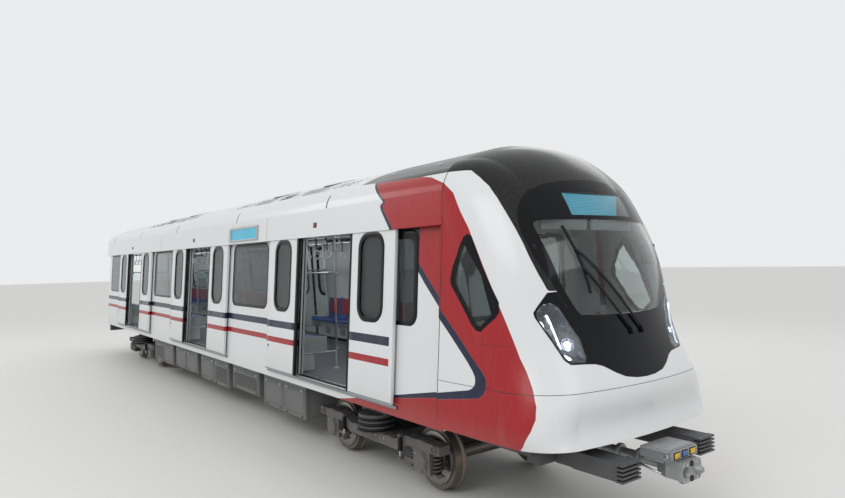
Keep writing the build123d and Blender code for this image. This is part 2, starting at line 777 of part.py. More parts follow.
def anti_climbers():
    """Ribbed blocks each side of the coupler, on beams from the floor frame."""
    blocks = []
    for s in (-1, 1):
        y = s * climber_y
        block = box(climber_x - 550, climber_x - 70, y - 110, y + 110, climber_z0, climber_z0 + 160)
        for n in range(climber_ribs):
            z = climber_z0 + 10 + n * 35
            block += box(climber_x - 71, climber_x, y - 130, y + 130, z - 8, z + 8)
        block += box(cab_floor_x + seat_gap, climber_x - 500, y - 90, y + 90, climber_z0, frame_top)
        blocks.append(block)
    return blocks


drawbar_r = 70.0
drawbar_eye = 120.0
drawbar_pin_r = 30.0


def drawbar():
    """Rear drawbar with a cross hole in its eye and a plate on the end beam."""
    x1 = rear_x - seat_gap
    bar = rod((drawbar_eye - 20 - end_reach, 0, coupler_z), (x1, 0, coupler_z), drawbar_r)
    half = drawbar_r + 5
    eye = box(-end_reach, drawbar_eye - end_reach, -half, half, coupler_z - half, coupler_z + half)
    hole = Pos(drawbar_eye / 2 - end_reach, 0, coupler_z) * Rot(90, 0, 0) * Cylinder(drawbar_pin_r, 400)
    plate = box(x1 - 30, x1, -180, 180, coupler_z - 60, coupler_z + 160)
    return bar + eye + plate - hole


# Roof and underfloor equipment
def roof_units():
    """Air conditioning units, flush with the roof."""
    units = []
    for x0, x1 in roof_unit_rows:
        body = extrude_face(roof_face(0.0, x0 + seat_gap), (x1 - x0 - 2 * seat_gap, 0, 0))
        half = unit_half - seat_gap
        units.append(body & box(x0, x1, -half, half, unit_floor, cut_z))
    return units


under_x0 = bogie_xs[0] + 1650.0     # free length between the bogies
under_x1 = bogie_xs[1] - 1700.0
box_half = 1080.0
# underfloor boxes: side, start and end as shares of the free length, inner y, bottom z
box_rows = [
    (-1, 0.000, 0.194, 180.0, 330.0),
    (-1, 0.218, 0.406, 120.0, 360.0),
    (-1, 0.430, 0.624, 180.0, 330.0),
    (-1, 0.648, 0.794, 100.0, 400.0),
    (-1, 0.818, 1.000, 200.0, 330.0),
    (1, 0.000, 0.164, 180.0, 340.0),
    (1, 0.188, 0.394, 150.0, 360.0),
    (1, 0.418, 0.600, 200.0, 330.0),
    (1, 0.830, 1.000, 180.0, 350.0),
]


def along(share):
    return under_x0 + share * (under_x1 - under_x0)


def equipment():
    boxes = []
    for side, start, end, inner, z0 in box_rows:
        y0, y1 = sorted((side * inner, side * box_half))
        boxes.append(box(along(start), along(end), y0, y1, z0, sill_z0 - seat_gap))
    return boxes


tank_r = 170.0
tank_z = 560.0


def air_tanks():
    """Two air tanks on straps under the floor."""
    tanks = []
    for y in (300.0, 760.0):
        tank = rod((along(0.643), y, tank_z), (along(0.8), y, tank_z), tank_r)
        for x in (along(0.667), along(0.776)):
            tank += box(x - 30, x + 30, y - 40, y + 40, tank_z + 40, frame_top)
        tanks.append(tank)
    return tanks


# Interior
bulkhead_x = seam_x - 410.0
bulkhead_t = 50.0
ceiling_z = 3180.0
saloon_x0 = rear_x + end_wall_t + 2 * seat_gap


def ceiling():
    """Lining under the roof, with a strip that meets each side wall."""
    half = skin_y(ceiling_z) - wall_t - seat_gap
    sheet = box(saloon_x0, bulkhead_x, 30 - half, half - 30, ceiling_z, ceiling_z + 30)
    for s in (-1, 1):
        z0 = ceiling_z - 20
        sheet += slab(saloon_x0, bulkhead_x, z0, z0 + 120, -wall_t - 40, -wall_t - seat_gap, s)
    return sheet


hatch = (250.0, 900.0, 1950.0, 2850.0)      # bulkhead window: inner y, outer y, bottom, top


def bulkhead():
    z0 = floor_top + seat_gap
    z1 = ceiling_z + 25
    half0 = skin_y(z0) - wall_t - seat_gap
    half1 = skin_y(z1) - wall_t - seat_gap
    x0 = bulkhead_x + seat_gap
    wall = prism_yz([(half0, z0), (half1, z1), (-half1, z1), (-half0, z0)], x0, x0 + bulkhead_t)
    for s in (-1, 1):
        y0, y1 = sorted((s * hatch[0], s * hatch[1]))
        wall -= box(x0 - 10, x0 + bulkhead_t + 10, y0, y1, hatch[2], hatch[3])
    return wall


screen_t = 12.0
screen_off = 800.0
screen_y = 640.0
screen_z0 = 1300.0
screen_h = 1150.0
seat_deep = 450.0
seat_z = 1500.0
seat_t = 60.0
seat_back_z = 1880.0
bench_off = screen_off + 90.0
bench_rows = [
    (door_xs[1] + bench_off, door_xs[2] - bench_off),
    (door_xs[0] + bench_off, door_xs[1] - bench_off),
    (rear_x + 150.0, door_xs[0] - bench_off),
]


def inner_y(z):
    """Inner face of the side wall, less the seat gap."""
    return skin_y(z) - wall_t - seat_gap


def benches(side):
    """Long benches along the wall, one for each window bay."""
    rows = []
    low = inner_y(seat_z)
    foot = floor_top + seat_gap
    for x0, x1 in bench_rows:
        half = [
            (low - seat_deep, seat_z - seat_t), (low - seat_deep, seat_z), (low - 60, seat_z),
            (inner_y(seat_back_z) - 50, seat_back_z), (inner_y(seat_back_z), seat_back_z),
            (inner_y(foot) - 16, foot), (low - 300, foot), (low - 330, seat_z - seat_t),
        ]
        rows.append(prism_yz([(side * y, z) for y, z in half], x0, x1))
    return rows


pole_r = 17.0
pole_y = 620.0
rail_z = 2950.0
pole_off = screen_off + 32.0
rail_x0 = rear_x + 250.0
rail_x1 = bulkhead_x - 160.0


def grab_rails():
    """Rail overhead with poles from floor to ceiling beside the doors, one tree on each side."""
    rails = []
    for s in (-1, 1):
        y = s * pole_y
        tree = rod((rail_x0, y, rail_z), (rail_x1, y, rail_z), pole_r)
        for x in door_xs:
            for d in (-1, 1):
                px = x + d * pole_off
                tree += rod((px, y, floor_top + seat_gap), (px, y, ceiling_z - seat_gap), pole_r)
        rails.append(tree)
    return rails


def draught_screens():
    """Glass screens beside the doorways, held at the side walls."""
    panes = []
    z1 = screen_z0 + screen_h
    for s in (-1, 1):
        half = [(screen_y, screen_z0), (inner_y(screen_z0), screen_z0), (inner_y(z1), z1), (screen_y, z1)]
        for x in door_xs:
            for d in (-1, 1):
                xc = x + d * screen_off
                panes.append(prism_yz([(s * y, z) for y, z in half], xc - screen_t / 2, xc + screen_t / 2))
    return panes


desk_x = end_reach - 1290.0
desk_z = 1960.0
desk_h = 400.0
leg_room = 450.0


def cab_desk():
    """Driver's desk across the cab, fitted to the shell, on a pedestal at each side."""
    fill = nose_loft(shell_t + lining_gap)
    desk = fill & box(desk_x, cab_floor_x + 450, -cut_y, cut_y, desk_z - desk_h, desk_z)
    slope = [(desk_x - 10, desk_z - 130), (desk_x + 330, desk_z + 10), (desk_x - 10, desk_z + 10)]
    desk -= prism_xz(slope, -cut_y, cut_y)
    foot = floor_top + seat_gap
    feet = box(desk_x + 40, cab_floor_x - 20, -cab_floor_half, cab_floor_half, foot, desk_z - desk_h + 1)
    feet -= box(desk_x, cab_floor_x, -leg_room, leg_room, 0, desk_z - desk_h)
    return desk + (fill & feet)


strip_y = 430.0


def light_strips():
    """Ceiling lights along the saloon."""
    strips = []
    for s in (-1, 1):
        y = s * strip_y
        strips.append(box(rail_x0, rail_x1, y - 50, y + 50, ceiling_z - 22, ceiling_z - seat_gap))
    return strips


driver_x = end_reach - 1780.0
cushion_z = 1540.0


def driver_seat():
    """Driver's seat on a column."""
    seat = box(driver_x - 240, driver_x + 230, -230, 230, cushion_z - 100, cushion_z)
    seat += box(driver_x - 240, driver_x - 140, -230, 230, cushion_z - 10, cushion_z + 610)
    foot = floor_top + seat_gap
    seat += Pos(driver_x, 0, foot + 15) * Cylinder(190, 30)
    seat += rod((driver_x, 0, foot + 20), (driver_x, 0, cushion_z - 90), 60)
    return seat


# Build and save
shell, skirt, windscreen, mask, lamps, side_glass = cab_parts()
save("cab_shell", shell)
save("cab_ring", cab_ring())
save("nose_skirt", skirt)
save("windscreen", windscreen)
save("front_mask", mask)
save("headlamps", lamps)
save("wiper", wiper())
save("cab_header", cab_header())
save("displays", displays())
save("draught_screens", draught_screens())
save("light_strips", light_strips())
save("cab_side_windows", side_glass)
save("floor", floor())
save("side_sills", side_sills())
save("bolsters", bolsters())
save("end_beams", end_beams())
save("coupler", coupler())
save("coupler_mount", coupler_mount())
save("anti_climbers", anti_climbers())
save("rear_drawbar", drawbar())
save("roof_units", roof_units())
save("equipment_boxes", equipment())
save("air_tanks", air_tanks())
save("ceiling", ceiling())
save("cab_bulkhead", bulkhead())
save("cab_desk", cab_desk())
save("driver_seat", driver_seat())
save("grab_rails", grab_rails())
save("roof_shell", roof_shell())
save("rear_end_wall", end_wall())
save("gangway_bellows", bellows())
save("side_windows", side_panes(-1) + side_panes(1))
save("cantrail_covers", [cantrail_cover(-1), cantrail_cover(1)])
save("door_tracks", door_tracks(-1) + door_tracks(1))
save("benches", benches(-1) + benches(1))
for side, label in ((-1, "right"), (1, "left")):
    save("side_wall_" + label, side_wall(side))
    for n, x in enumerate(door_xs):
        at_rest = door_clear / 2 if side < 0 else leaf_meet
        save("door_%s_%d_front" % (label, n + 1), leaf(side, x + at_rest, x + at_rest + leaf_w, x + at_rest))
        save("door_%s_%d_rear" % (label, n + 1), leaf(side, x - at_rest - leaf_w, x - at_rest, x - at_rest))
for n, x in enumerate(bogie_xs):
    save("bogie_%d" % (n + 1), bogie(x))
    save("wheelset_%d_rear" % (n + 1), wheelset(x - wheelbase / 2))
    save("wheelset_%d_front" % (n + 1), wheelset(x + wheelbase / 2))
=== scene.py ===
import math

import bmesh
import bpy
from mathutils import Matrix, Vector


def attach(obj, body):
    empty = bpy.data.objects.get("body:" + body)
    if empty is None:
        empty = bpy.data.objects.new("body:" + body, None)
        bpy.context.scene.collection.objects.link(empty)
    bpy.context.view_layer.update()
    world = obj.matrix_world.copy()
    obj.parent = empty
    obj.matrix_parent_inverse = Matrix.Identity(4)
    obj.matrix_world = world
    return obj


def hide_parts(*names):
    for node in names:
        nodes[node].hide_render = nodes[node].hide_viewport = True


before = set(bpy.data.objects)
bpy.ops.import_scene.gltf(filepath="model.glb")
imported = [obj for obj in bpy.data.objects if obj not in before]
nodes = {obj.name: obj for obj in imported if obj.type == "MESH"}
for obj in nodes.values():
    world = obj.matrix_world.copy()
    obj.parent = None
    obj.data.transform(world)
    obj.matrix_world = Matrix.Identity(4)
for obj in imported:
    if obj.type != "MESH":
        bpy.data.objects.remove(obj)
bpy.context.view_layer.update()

# Sizes of the car that the pieces below are set out from, in metres
skin_half = 1.300
skin_ref_z = 1.030
lean_rate = 0.0615
wall_t = 0.060
cover_out = 0.086
body_rear = -8.850
body_front = 7.440
door_xs = (-5.4698, -0.2701, 4.9297)
door_clear = 1.420
leaf_w = 0.980
leaf_z0 = 1.030
leaf_z1 = 3.150
leaf_in = 0.030
leaf_out = 0.070
glass_w = 0.560
glass_z0 = 1.900
glass_z1 = 2.930
window_rows = ((2.300, 1.500), (-2.900, 1.500), (-7.890, 1.380), (6.625, 0.690))
window_z0 = 1.895
window_z1 = 2.935
bogie_xs = (-5.900, 5.700)
axle_z = 0.378
axle_reach = 1.000
gangway_z = 2.080
coupler_face = 9.350
leaf_travel = 0.707
red_stripe = (1.440, 1.520)
navy_stripe = (1.660, 1.760)
wall_stripes_end = 5.600
leaf_stripes_end = 5.848
floor_top = 1.0405
ceiling_under = 3.1795
end_wall_face = -8.8505
wheel_face = 0.8145


# Colour and number helpers
def srgb(r, g, b):
    """A colour written as it looks, 0 to 255, turned into the numbers a shader takes."""
    out = []
    for c in (r, g, b):
        c = c / 255
        out.append(c / 12.92 if c <= 0.04045 else ((c + 0.055) / 1.055) ** 2.4)
    return (out[0], out[1], out[2], 1.0)


white_paint = srgb(214, 216, 217)
red_paint = srgb(154, 26, 33)
navy_paint = srgb(30, 33, 58)
black_paint = srgb(11, 12, 15)
dust_brown = srgb(122, 114, 104)
# grey that the white paint turns towards the bottom of the body
low_pale_grey = srgb(150, 146, 138)


def feed(tree, value, socket):
    if isinstance(value, bpy.types.NodeSocket):
        tree.links.new(value, socket)
    elif value is not None:
        socket.default_value = value


def calc(tree, operation, a, b=None, c=None, clamp=False):
    node = tree.nodes.new("ShaderNodeMath")
    node.operation = operation
    node.use_clamp = clamp
    for value, socket in zip((a, b, c), node.inputs):
        feed(tree, value, socket)
    return node.outputs[0]


def step_up(tree, value, edge, soft=0.003):
    """0 where value is under edge and 1 over it, over a short ramp."""
    gap = calc(tree, "SUBTRACT", value, edge)
    return calc(tree, "MULTIPLY_ADD", gap, 1 / soft, 0.5, clamp=True)


def both_of(tree, *masks):
    out = masks[0]
    for m in masks[1:]:
        out = calc(tree, "MULTIPLY", out, m)
    return out


def other_than(tree, mask):
    return calc(tree, "SUBTRACT", 1.0, mask)


def within(tree, value, low, high, soft=0.003):
    """1 where value lies between low and high."""
    return both_of(tree, step_up(tree, value, low, soft), step_up(tree, high, value, soft))


def drawn_line(tree, value, points):
    """A line through the points: the height it has over value."""
    xs = [p[0] for p in points]
    ys = [p[1] for p in points]
    x0, x1, y0, y1 = min(xs), max(xs), min(ys), max(ys)
    inward = tree.nodes.new("ShaderNodeMapRange")
    feed(tree, value, inward.inputs["Value"])
    inward.inputs["From Min"].default_value = x0
    inward.inputs["From Max"].default_value = x1
    node = tree.nodes.new("ShaderNodeFloatCurve")
    tree.links.new(inward.outputs["Result"], node.inputs["Value"])
    curve = node.mapping.curves[0]
    spots = [((x - x0) / (x1 - x0), (y - y0) / (y1 - y0)) for x, y in points]
    curve.points[0].location = spots[0]
    curve.points[1].location = spots[-1]
    for s in spots[1:-1]:
        curve.points.new(s[0], s[1])
    for p in curve.points:
        p.handle_type = "VECTOR"
    node.mapping.update()
    return calc(tree, "MULTIPLY_ADD", node.outputs[0], y1 - y0, y0)


def mixed(tree, factor, a, b):
    node = tree.nodes.new("ShaderNodeMix")
    node.data_type = "RGBA"
    feed(tree, factor, node.inputs["Factor"])
    feed(tree, a, node.inputs["A"])
    feed(tree, b, node.inputs["B"])
    return node.outputs["Result"]


def place_of(tree):
    """Object coordinates: the vector and its x, y and z."""
    spot = tree.nodes.new("ShaderNodeTexCoord")
    parts = tree.nodes.new("ShaderNodeSeparateXYZ")
    tree.links.new(spot.outputs["Object"], parts.inputs[0])
    return spot.outputs["Object"], parts.outputs[0], parts.outputs[1], parts.outputs[2]


def grain(tree, vector, scale, detail=4.0, rough=0.5, stretch=None):
    if stretch:
        turn = tree.nodes.new("ShaderNodeMapping")
        tree.links.new(vector, turn.inputs["Vector"])
        turn.inputs["Scale"].default_value = stretch
        vector = turn.outputs[0]
    node = tree.nodes.new("ShaderNodeTexNoise")
    tree.links.new(vector, node.inputs["Vector"])
    node.inputs["Scale"].default_value = scale
    node.inputs["Detail"].default_value = detail
    node.inputs["Roughness"].default_value = rough
    return node.outputs["Fac"]


def bumped(tree, height, strength, distance):
    node = tree.nodes.new("ShaderNodeBump")
    node.inputs["Strength"].default_value = strength
    node.inputs["Distance"].default_value = distance
    feed(tree, height, node.inputs["Height"])
    return node.outputs["Normal"]


def new_group(name, inputs, outputs):
    """A shader node group; sockets are given as (name, kind, value)."""
    tree = bpy.data.node_groups.new(name, "ShaderNodeTree")
    for label, kind, value in inputs:
        socket = tree.interface.new_socket(label, in_out="INPUT", socket_type="NodeSocket" + kind)
        socket.default_value = value
    for label, kind in outputs:
        tree.interface.new_socket(label, in_out="OUTPUT", socket_type="NodeSocket" + kind)
    taken = tree.nodes.new("NodeGroupInput")
    given = tree.nodes.new("NodeGroupOutput")
    return tree, taken.outputs, given.inputs


def placed(tree, group, **values):
    node = tree.nodes.new("ShaderNodeGroup")
    node.node_tree = group
    for label, value in values.items():
        feed(tree, value, node.inputs[label.replace("_", " ")])
    return node.outputs


# Shared effects
def make_livery():
    """Masks of the painted bands, from where a point lies on the car."""
    tree, taken, given = new_group(
        "livery bands", [], [("Red", "Float"), ("Navy", "Float"), ("Black", "Float"), ("Joints and Gap Shade", "Float")])
    spot, x, y, z = place_of(tree)
    out_y = calc(tree, "ABSOLUTE", y)
    # lower edge of the black roof, going down along the windscreen
    black_edge = drawn_line(tree, x, [
        (5.700, 3.540), (6.300, 3.512), (6.950, 3.485), (7.412, 3.478), (7.650, 3.474), (7.708, 3.468),
        (7.820, 3.388), (7.931, 3.293), (8.034, 3.165), (8.128, 3.026), (8.226, 2.870), (8.306, 2.730),
        (8.410, 2.519), (8.473, 2.377), (8.503, 2.296), (8.600, 2.290),
    ])
    crest = drawn_line(tree, out_y, [(0.0, 6.250), (0.500, 6.100), (0.870, 5.700), (1.400, 5.600)])
    above = step_up(tree, z, black_edge)
    black = both_of(tree, above, step_up(tree, x, crest))
    # black print over the short window, up to the cover
    print_over = both_of(tree, within(tree, x, 6.272, 6.978), within(tree, z, 2.800, 3.100),
                         step_up(tree, 1.206, out_y))
    red_front = drawn_line(tree, z, [
        (0.900, 8.480), (1.000, 8.560), (1.132, 8.617), (1.228, 8.636), (1.330, 8.620), (1.462, 8.563),
        (1.597, 8.487), (1.715, 8.414), (2.044, 8.259), (2.311, 8.127), (2.528, 8.011), (2.901, 7.821),
        (3.062, 7.715), (3.251, 7.605), (3.364, 7.456), (3.452, 7.209), (3.479, 7.046), (3.500, 6.900),
    ])
    outer_side = drawn_line(tree, z, [
        (0.900, 7.980), (1.300, 7.985), (1.316, 8.000), (1.332, 8.040), (1.352, 8.068), (1.384, 8.094),
        (1.420, 8.110), (1.460, 8.115), (1.510, 8.105), (1.570, 8.050),
        (1.638, 7.967), (2.359, 7.191), (2.961, 6.577), (3.176, 6.386), (3.230, 6.366), (3.268, 6.430),
        (3.467, 6.158), (3.560, 6.030),
    ])
    inner_side = drawn_line(tree, z, [
        (0.900, 7.870), (1.370, 7.870), (1.380, 7.890), (1.392, 7.918), (1.412, 7.946), (1.438, 7.966),
        (1.470, 7.972), (1.510, 7.965), (1.560, 7.930),
        (1.638, 7.855), (2.359, 7.080), (2.961, 6.510), (3.176, 6.335), (3.230, 6.315), (3.268, 6.378),
        (3.467, 6.106), (3.560, 5.980),
    ])
    # lower edges of the wedge: a rise along x from a height at the cab joint
    joint_x = 7.25
    run = calc(tree, "MULTIPLY_ADD", x, 0.159, 1.199 - joint_x * 0.159)
    run_in = calc(tree, "MULTIPLY_ADD", x, 0.194, 1.256 - joint_x * 0.194)
    run_in = calc(tree, "MAXIMUM", run, run_in)
    wedge_out = both_of(tree, step_up(tree, outer_side, x), step_up(tree, z, run))
    wedge_in = both_of(tree, step_up(tree, inner_side, x), step_up(tree, z, run_in))
    red = both_of(tree, step_up(tree, red_front, x), other_than(tree, above), other_than(tree, wedge_out))
    navy = both_of(tree, wedge_out, other_than(tree, wedge_in), other_than(tree, above))
    behind = step_up(tree, wall_stripes_end, x)
    red_band = both_of(tree, within(tree, z, *red_stripe), behind)
    navy_band = both_of(tree, within(tree, z, *navy_stripe), behind)
    tree.links.new(calc(tree, "MAXIMUM", red, red_band), given["Red"])
    tree.links.new(calc(tree, "MAXIMUM", navy, navy_band), given["Navy"])
    tree.links.new(calc(tree, "MAXIMUM", black, print_over), given["Black"])
    # dark joints above the skirt and the short ones beside the lamps, and behind the cab a dark line of painted
    # shade in the seam gap
    seam_gap_shade = within(tree, x, 7.449, 7.461, 0.002)
    skirt = both_of(tree, within(tree, z, 1.4165, 1.4225, 0.001), step_up(tree, x, 7.470))
    side_joint = both_of(tree, within(tree, z, 1.808, 1.8115, 0.001), within(tree, x, 7.930, 8.330))
    joints_and_gap_shade = calc(tree, "MAXIMUM", calc(tree, "MAXIMUM", seam_gap_shade, skirt), side_joint)
    tree.links.new(joints_and_gap_shade, given["Joints and Gap Shade"])
    return tree


def make_leaf_bands():
    """The two stripes over the door leaves, ending short of the foremost edge; the right leaves rest open."""
    tree, taken, given = new_group("leaf bands", [], [("Red", "Float"), ("Navy", "Float")])
    spot, x, y, z = place_of(tree)
    end = calc(tree, "MULTIPLY_ADD", step_up(tree, 0.0, y), leaf_travel, leaf_stripes_end)
    behind = step_up(tree, end, x)
    for label, stripe in (("Red", red_stripe), ("Navy", navy_stripe)):
        tree.links.new(both_of(tree, within(tree, z, *stripe), behind), given[label])
    return tree


def make_inward_faces():
    """1 on faces that look inward, towards the middle of the car."""
    tree, taken, given = new_group("inward faces", [("Centre X", "Float", 6.9)], [("Mask", "Float")])
    spot = tree.nodes.new("ShaderNodeTexCoord")
    centre = tree.nodes.new("ShaderNodeCombineXYZ")
    tree.links.new(taken["Centre X"], centre.inputs[0])
    centre.inputs[2].default_value = 2.0
    away = tree.nodes.new("ShaderNodeVectorMath")
    away.operation = "SUBTRACT"
    tree.links.new(spot.outputs["Object"], away.inputs[0])
    tree.links.new(centre.outputs[0], away.inputs[1])
    dot = tree.nodes.new("ShaderNodeVectorMath")
    dot.operation = "DOT_PRODUCT"
    tree.links.new(away.outputs[0], dot.inputs[0])
    tree.links.new(spot.outputs["Normal"], dot.inputs[1])
    tree.links.new(step_up(tree, 0.0, dot.outputs["Value"], 0.01), given["Mask"])
    return tree


def make_low_darkening():
    """A mask that grows towards the bottom of the car, with faint streaks down the sides, and a cloud of tone."""
    tree, taken, given = new_group(
        "low darkening and streaks", [("Top", "Float", 1.3), ("Depth", "Float", 0.6), ("Amount", "Float", 0.4)],
        [("Mask", "Float"), ("Cloud", "Float")])
    spot, x, y, z = place_of(tree)
    low = calc(tree, "SUBTRACT", taken["Top"], z)
    low = calc(tree, "DIVIDE", low, taken["Depth"], clamp=True)
    streak = grain(tree, spot, 6.0, 5.0, 0.6, (7.0, 7.0, 0.35))
    cloud = grain(tree, spot, 1.7, 5.0, 0.55)
    body = calc(tree, "MULTIPLY", low, calc(tree, "MULTIPLY_ADD", cloud, 1.2, 0.25))
    body = calc(tree, "MULTIPLY_ADD", calc(tree, "POWER", streak, 3.0), 0.45, body)
    tree.links.new(calc(tree, "MULTIPLY", body, taken["Amount"], clamp=True), given["Mask"])
    tree.links.new(cloud, given["Cloud"])
    return tree


def make_peel():
    """The slight waviness of sprayed paint on sheet panels."""
    tree, taken, given = new_group("paint waviness", [("Fine", "Float", 0.15)], [("Height", "Float")])
    spot, x, y, z = place_of(tree)
    fine = grain(tree, spot, 260.0, 2.0)
    broad = grain(tree, spot, 1.1, 2.0)
    tree.links.new(calc(tree, "MULTIPLY_ADD", fine, taken["Fine"], broad), given["Height"])
    return tree


def make_mottle():
    """Colour and gloss variation of moulded and cast surfaces."""
    tree, taken, given = new_group(
        "mottle", [("Colour", "Color", (0.5, 0.5, 0.5, 1)), ("Change", "Float", 0.12), ("Scale", "Float", 9.0)],
        [("Colour", "Color"), ("Fine", "Float")])
    spot, x, y, z = place_of(tree)
    noise = tree.nodes.new("ShaderNodeTexNoise")
    tree.links.new(spot, noise.inputs["Vector"])
    tree.links.new(taken["Scale"], noise.inputs["Scale"])
    noise.inputs["Detail"].default_value = 5.0
    shade = calc(tree, "MULTIPLY_ADD", noise.outputs["Fac"], taken["Change"], 1.0)
    shade = calc(tree, "MULTIPLY_ADD", taken["Change"], -0.5, shade)
    tint = tree.nodes.new("ShaderNodeVectorMath")
    tint.operation = "SCALE"
    tree.links.new(taken["Colour"], tint.inputs[0])
    tree.links.new(shade, tint.inputs["Scale"])
    tree.links.new(tint.outputs[0], given["Colour"])
    tree.links.new(grain(tree, spot, 420.0, 3.0), given["Fine"])
    return tree


livery_bands = make_livery()
leaf_bands = make_leaf_bands()
inward_faces = make_inward_faces()
low_darkening_and_streaks = make_low_darkening()
paint_waviness = make_peel()
mottle = make_mottle()


# Materials
def fresh_material(name):
    mat = bpy.data.materials.new(name)
    mat.use_nodes = True
    tree = mat.node_tree
    shader = tree.nodes["Principled BSDF"]
    return mat, tree, shader


def plain_finish(name, colour, rough, metal=0.0, change=0.12, scale=9.0, bump=0.15, coat=0.0, dust=0.0,
                 dust_top=0.9, rough_change=0.12, shine=0.5):
    """Moulded, cast or painted surface with its own mottle, fine grain and dust."""
    mat, tree, shader = fresh_material(name)
    spots = placed(tree, mottle, Colour=colour, Change=change, Scale=scale)
    base = spots["Colour"]
    if dust:
        low_darkening = placed(tree, low_darkening_and_streaks, Top=dust_top, Depth=0.9, Amount=dust)
        base = mixed(tree, low_darkening["Mask"], base, dust_brown)
    tree.links.new(base, shader.inputs["Base Color"])
    tree.links.new(calc(tree, "MULTIPLY_ADD", spots["Fine"], rough_change, rough - rough_change / 2),
                   shader.inputs["Roughness"])
    shader.inputs["Metallic"].default_value = metal
    shader.inputs["Coat Weight"].default_value = coat
    shader.inputs["Specular IOR Level"].default_value = shine
    shader.inputs["Coat Roughness"].default_value = 0.08
    tree.links.new(bumped(tree, spots["Fine"], bump, 0.0006), shader.inputs["Normal"])
    return mat


def body_finish(name, inside="normals", bands=livery_bands):
    """White gloss paint with its bands outside and pale lining inside."""
    mat, tree, shader = fresh_material(name)
    spot, x, y, z = place_of(tree)
    low_darkening = placed(tree, low_darkening_and_streaks, Top=1.15, Depth=0.5, Amount=0.30)
    base = mixed(tree, calc(tree, "MULTIPLY", low_darkening["Cloud"], 0.10), white_paint, srgb(196, 199, 202))
    masks = placed(tree, bands)
    base = mixed(tree, masks["Navy"], base, navy_paint)
    base = mixed(tree, masks["Red"], base, red_paint)
    if bands == livery_bands:
        base = mixed(tree, masks["Black"], base, black_paint)
        # joints darkened nearly to black; at the cab seam this dark line is painted shade of the gap
        base = mixed(tree, calc(tree, "MULTIPLY", masks["Joints and Gap Shade"], 0.85), base, srgb(34, 34, 37))
    # the white turns darker and greyer towards the bottom of the body and leaves, with faint streaks
    base = mixed(tree, low_darkening["Mask"], base, low_pale_grey)
    if inside == "normals":
        inner = placed(tree, inward_faces, Centre_X=6.9)["Mask"]
    elif inside == "depth":
        depth = calc(tree, "MULTIPLY_ADD", z, -lean_rate, skin_half + skin_ref_z * lean_rate - 0.012)
        inner = step_up(tree, depth, calc(tree, "ABSOLUTE", y))
    else:
        inner = 0.0
    base = mixed(tree, inner, base, srgb(200, 203, 204))
    tree.links.new(base, shader.inputs["Base Color"])
    rough = calc(tree, "MULTIPLY_ADD", low_darkening["Cloud"], 0.10, 0.20)
    rough = calc(tree, "MULTIPLY_ADD", inner, 0.25, rough)
    tree.links.new(rough, shader.inputs["Roughness"])
    shader.inputs["Coat Weight"].default_value = 0.12
    shader.inputs["Coat Roughness"].default_value = 0.05
    shader.inputs["Specular IOR Level"].default_value = 0.26
    height = placed(tree, paint_waviness, Fine=0.10)["Height"]
    tree.links.new(bumped(tree, height, 0.12, 0.004), shader.inputs["Normal"])
    return mat


def glass_finish(name, tint, rough=0.02, bend=1.45):
    mat, tree, shader = fresh_material(name)
    spots = placed(tree, mottle, Colour=tint, Change=0.03, Scale=2.0)
    tree.links.new(spots["Colour"], shader.inputs["Base Color"])
    tree.links.new(calc(tree, "MULTIPLY_ADD", spots["Fine"], 0.02, rough), shader.inputs["Roughness"])
    shader.inputs["Transmission Weight"].default_value = 1.0
    shader.inputs["IOR"].default_value = bend
    return mat


def glow_finish(name, colour, strength):
    mat, tree, shader = fresh_material(name)
    spots = placed(tree, mottle, Colour=colour, Change=0.10, Scale=30.0)
    tree.links.new(spots["Colour"], shader.inputs["Base Color"])
    tree.links.new(spots["Colour"], shader.inputs["Emission Color"])
    shader.inputs["Emission Strength"].default_value = strength
    shader.inputs["Roughness"].default_value = 0.25
    return mat


def dotted_display():
    """Dark display glass with rows of small cyan light points, evenly lit and blank."""
    mat, tree, shader = fresh_material("lit display")
    spot, x, y, z = place_of(tree)
    across = calc(tree, "MULTIPLY", calc(tree, "ADD", x, y), math.tau / 0.0145)
    up = calc(tree, "MULTIPLY", z, math.tau / 0.0145)
    wave = calc(tree, "MULTIPLY", calc(tree, "COSINE", across), 0.5)
    wave = calc(tree, "MULTIPLY_ADD", calc(tree, "COSINE", up), 0.5, wave)
    dots = step_up(tree, wave, 0.25, 0.6)
    cloud = grain(tree, spot, 3.0, 2.0)
    dots = calc(tree, "MULTIPLY", dots, calc(tree, "MULTIPLY_ADD", cloud, 0.7, 0.55))
    front = calc(tree, "MULTIPLY", step_up(tree, x, 7.0), 0.30)
    glow = mixed(tree, dots, srgb(30, 128, 158), srgb(74, 205, 236))
    glow = mixed(tree, front, glow, srgb(8, 62, 84))
    tree.links.new(mixed(tree, dots, srgb(10, 18, 22), srgb(30, 110, 130)), shader.inputs["Base Color"])
    tree.links.new(glow, shader.inputs["Emission Color"])
    shader.inputs["Emission Strength"].default_value = 0.95
    tree.links.new(calc(tree, "MULTIPLY_ADD", cloud, 0.05, 0.12), shader.inputs["Roughness"])
    return mat


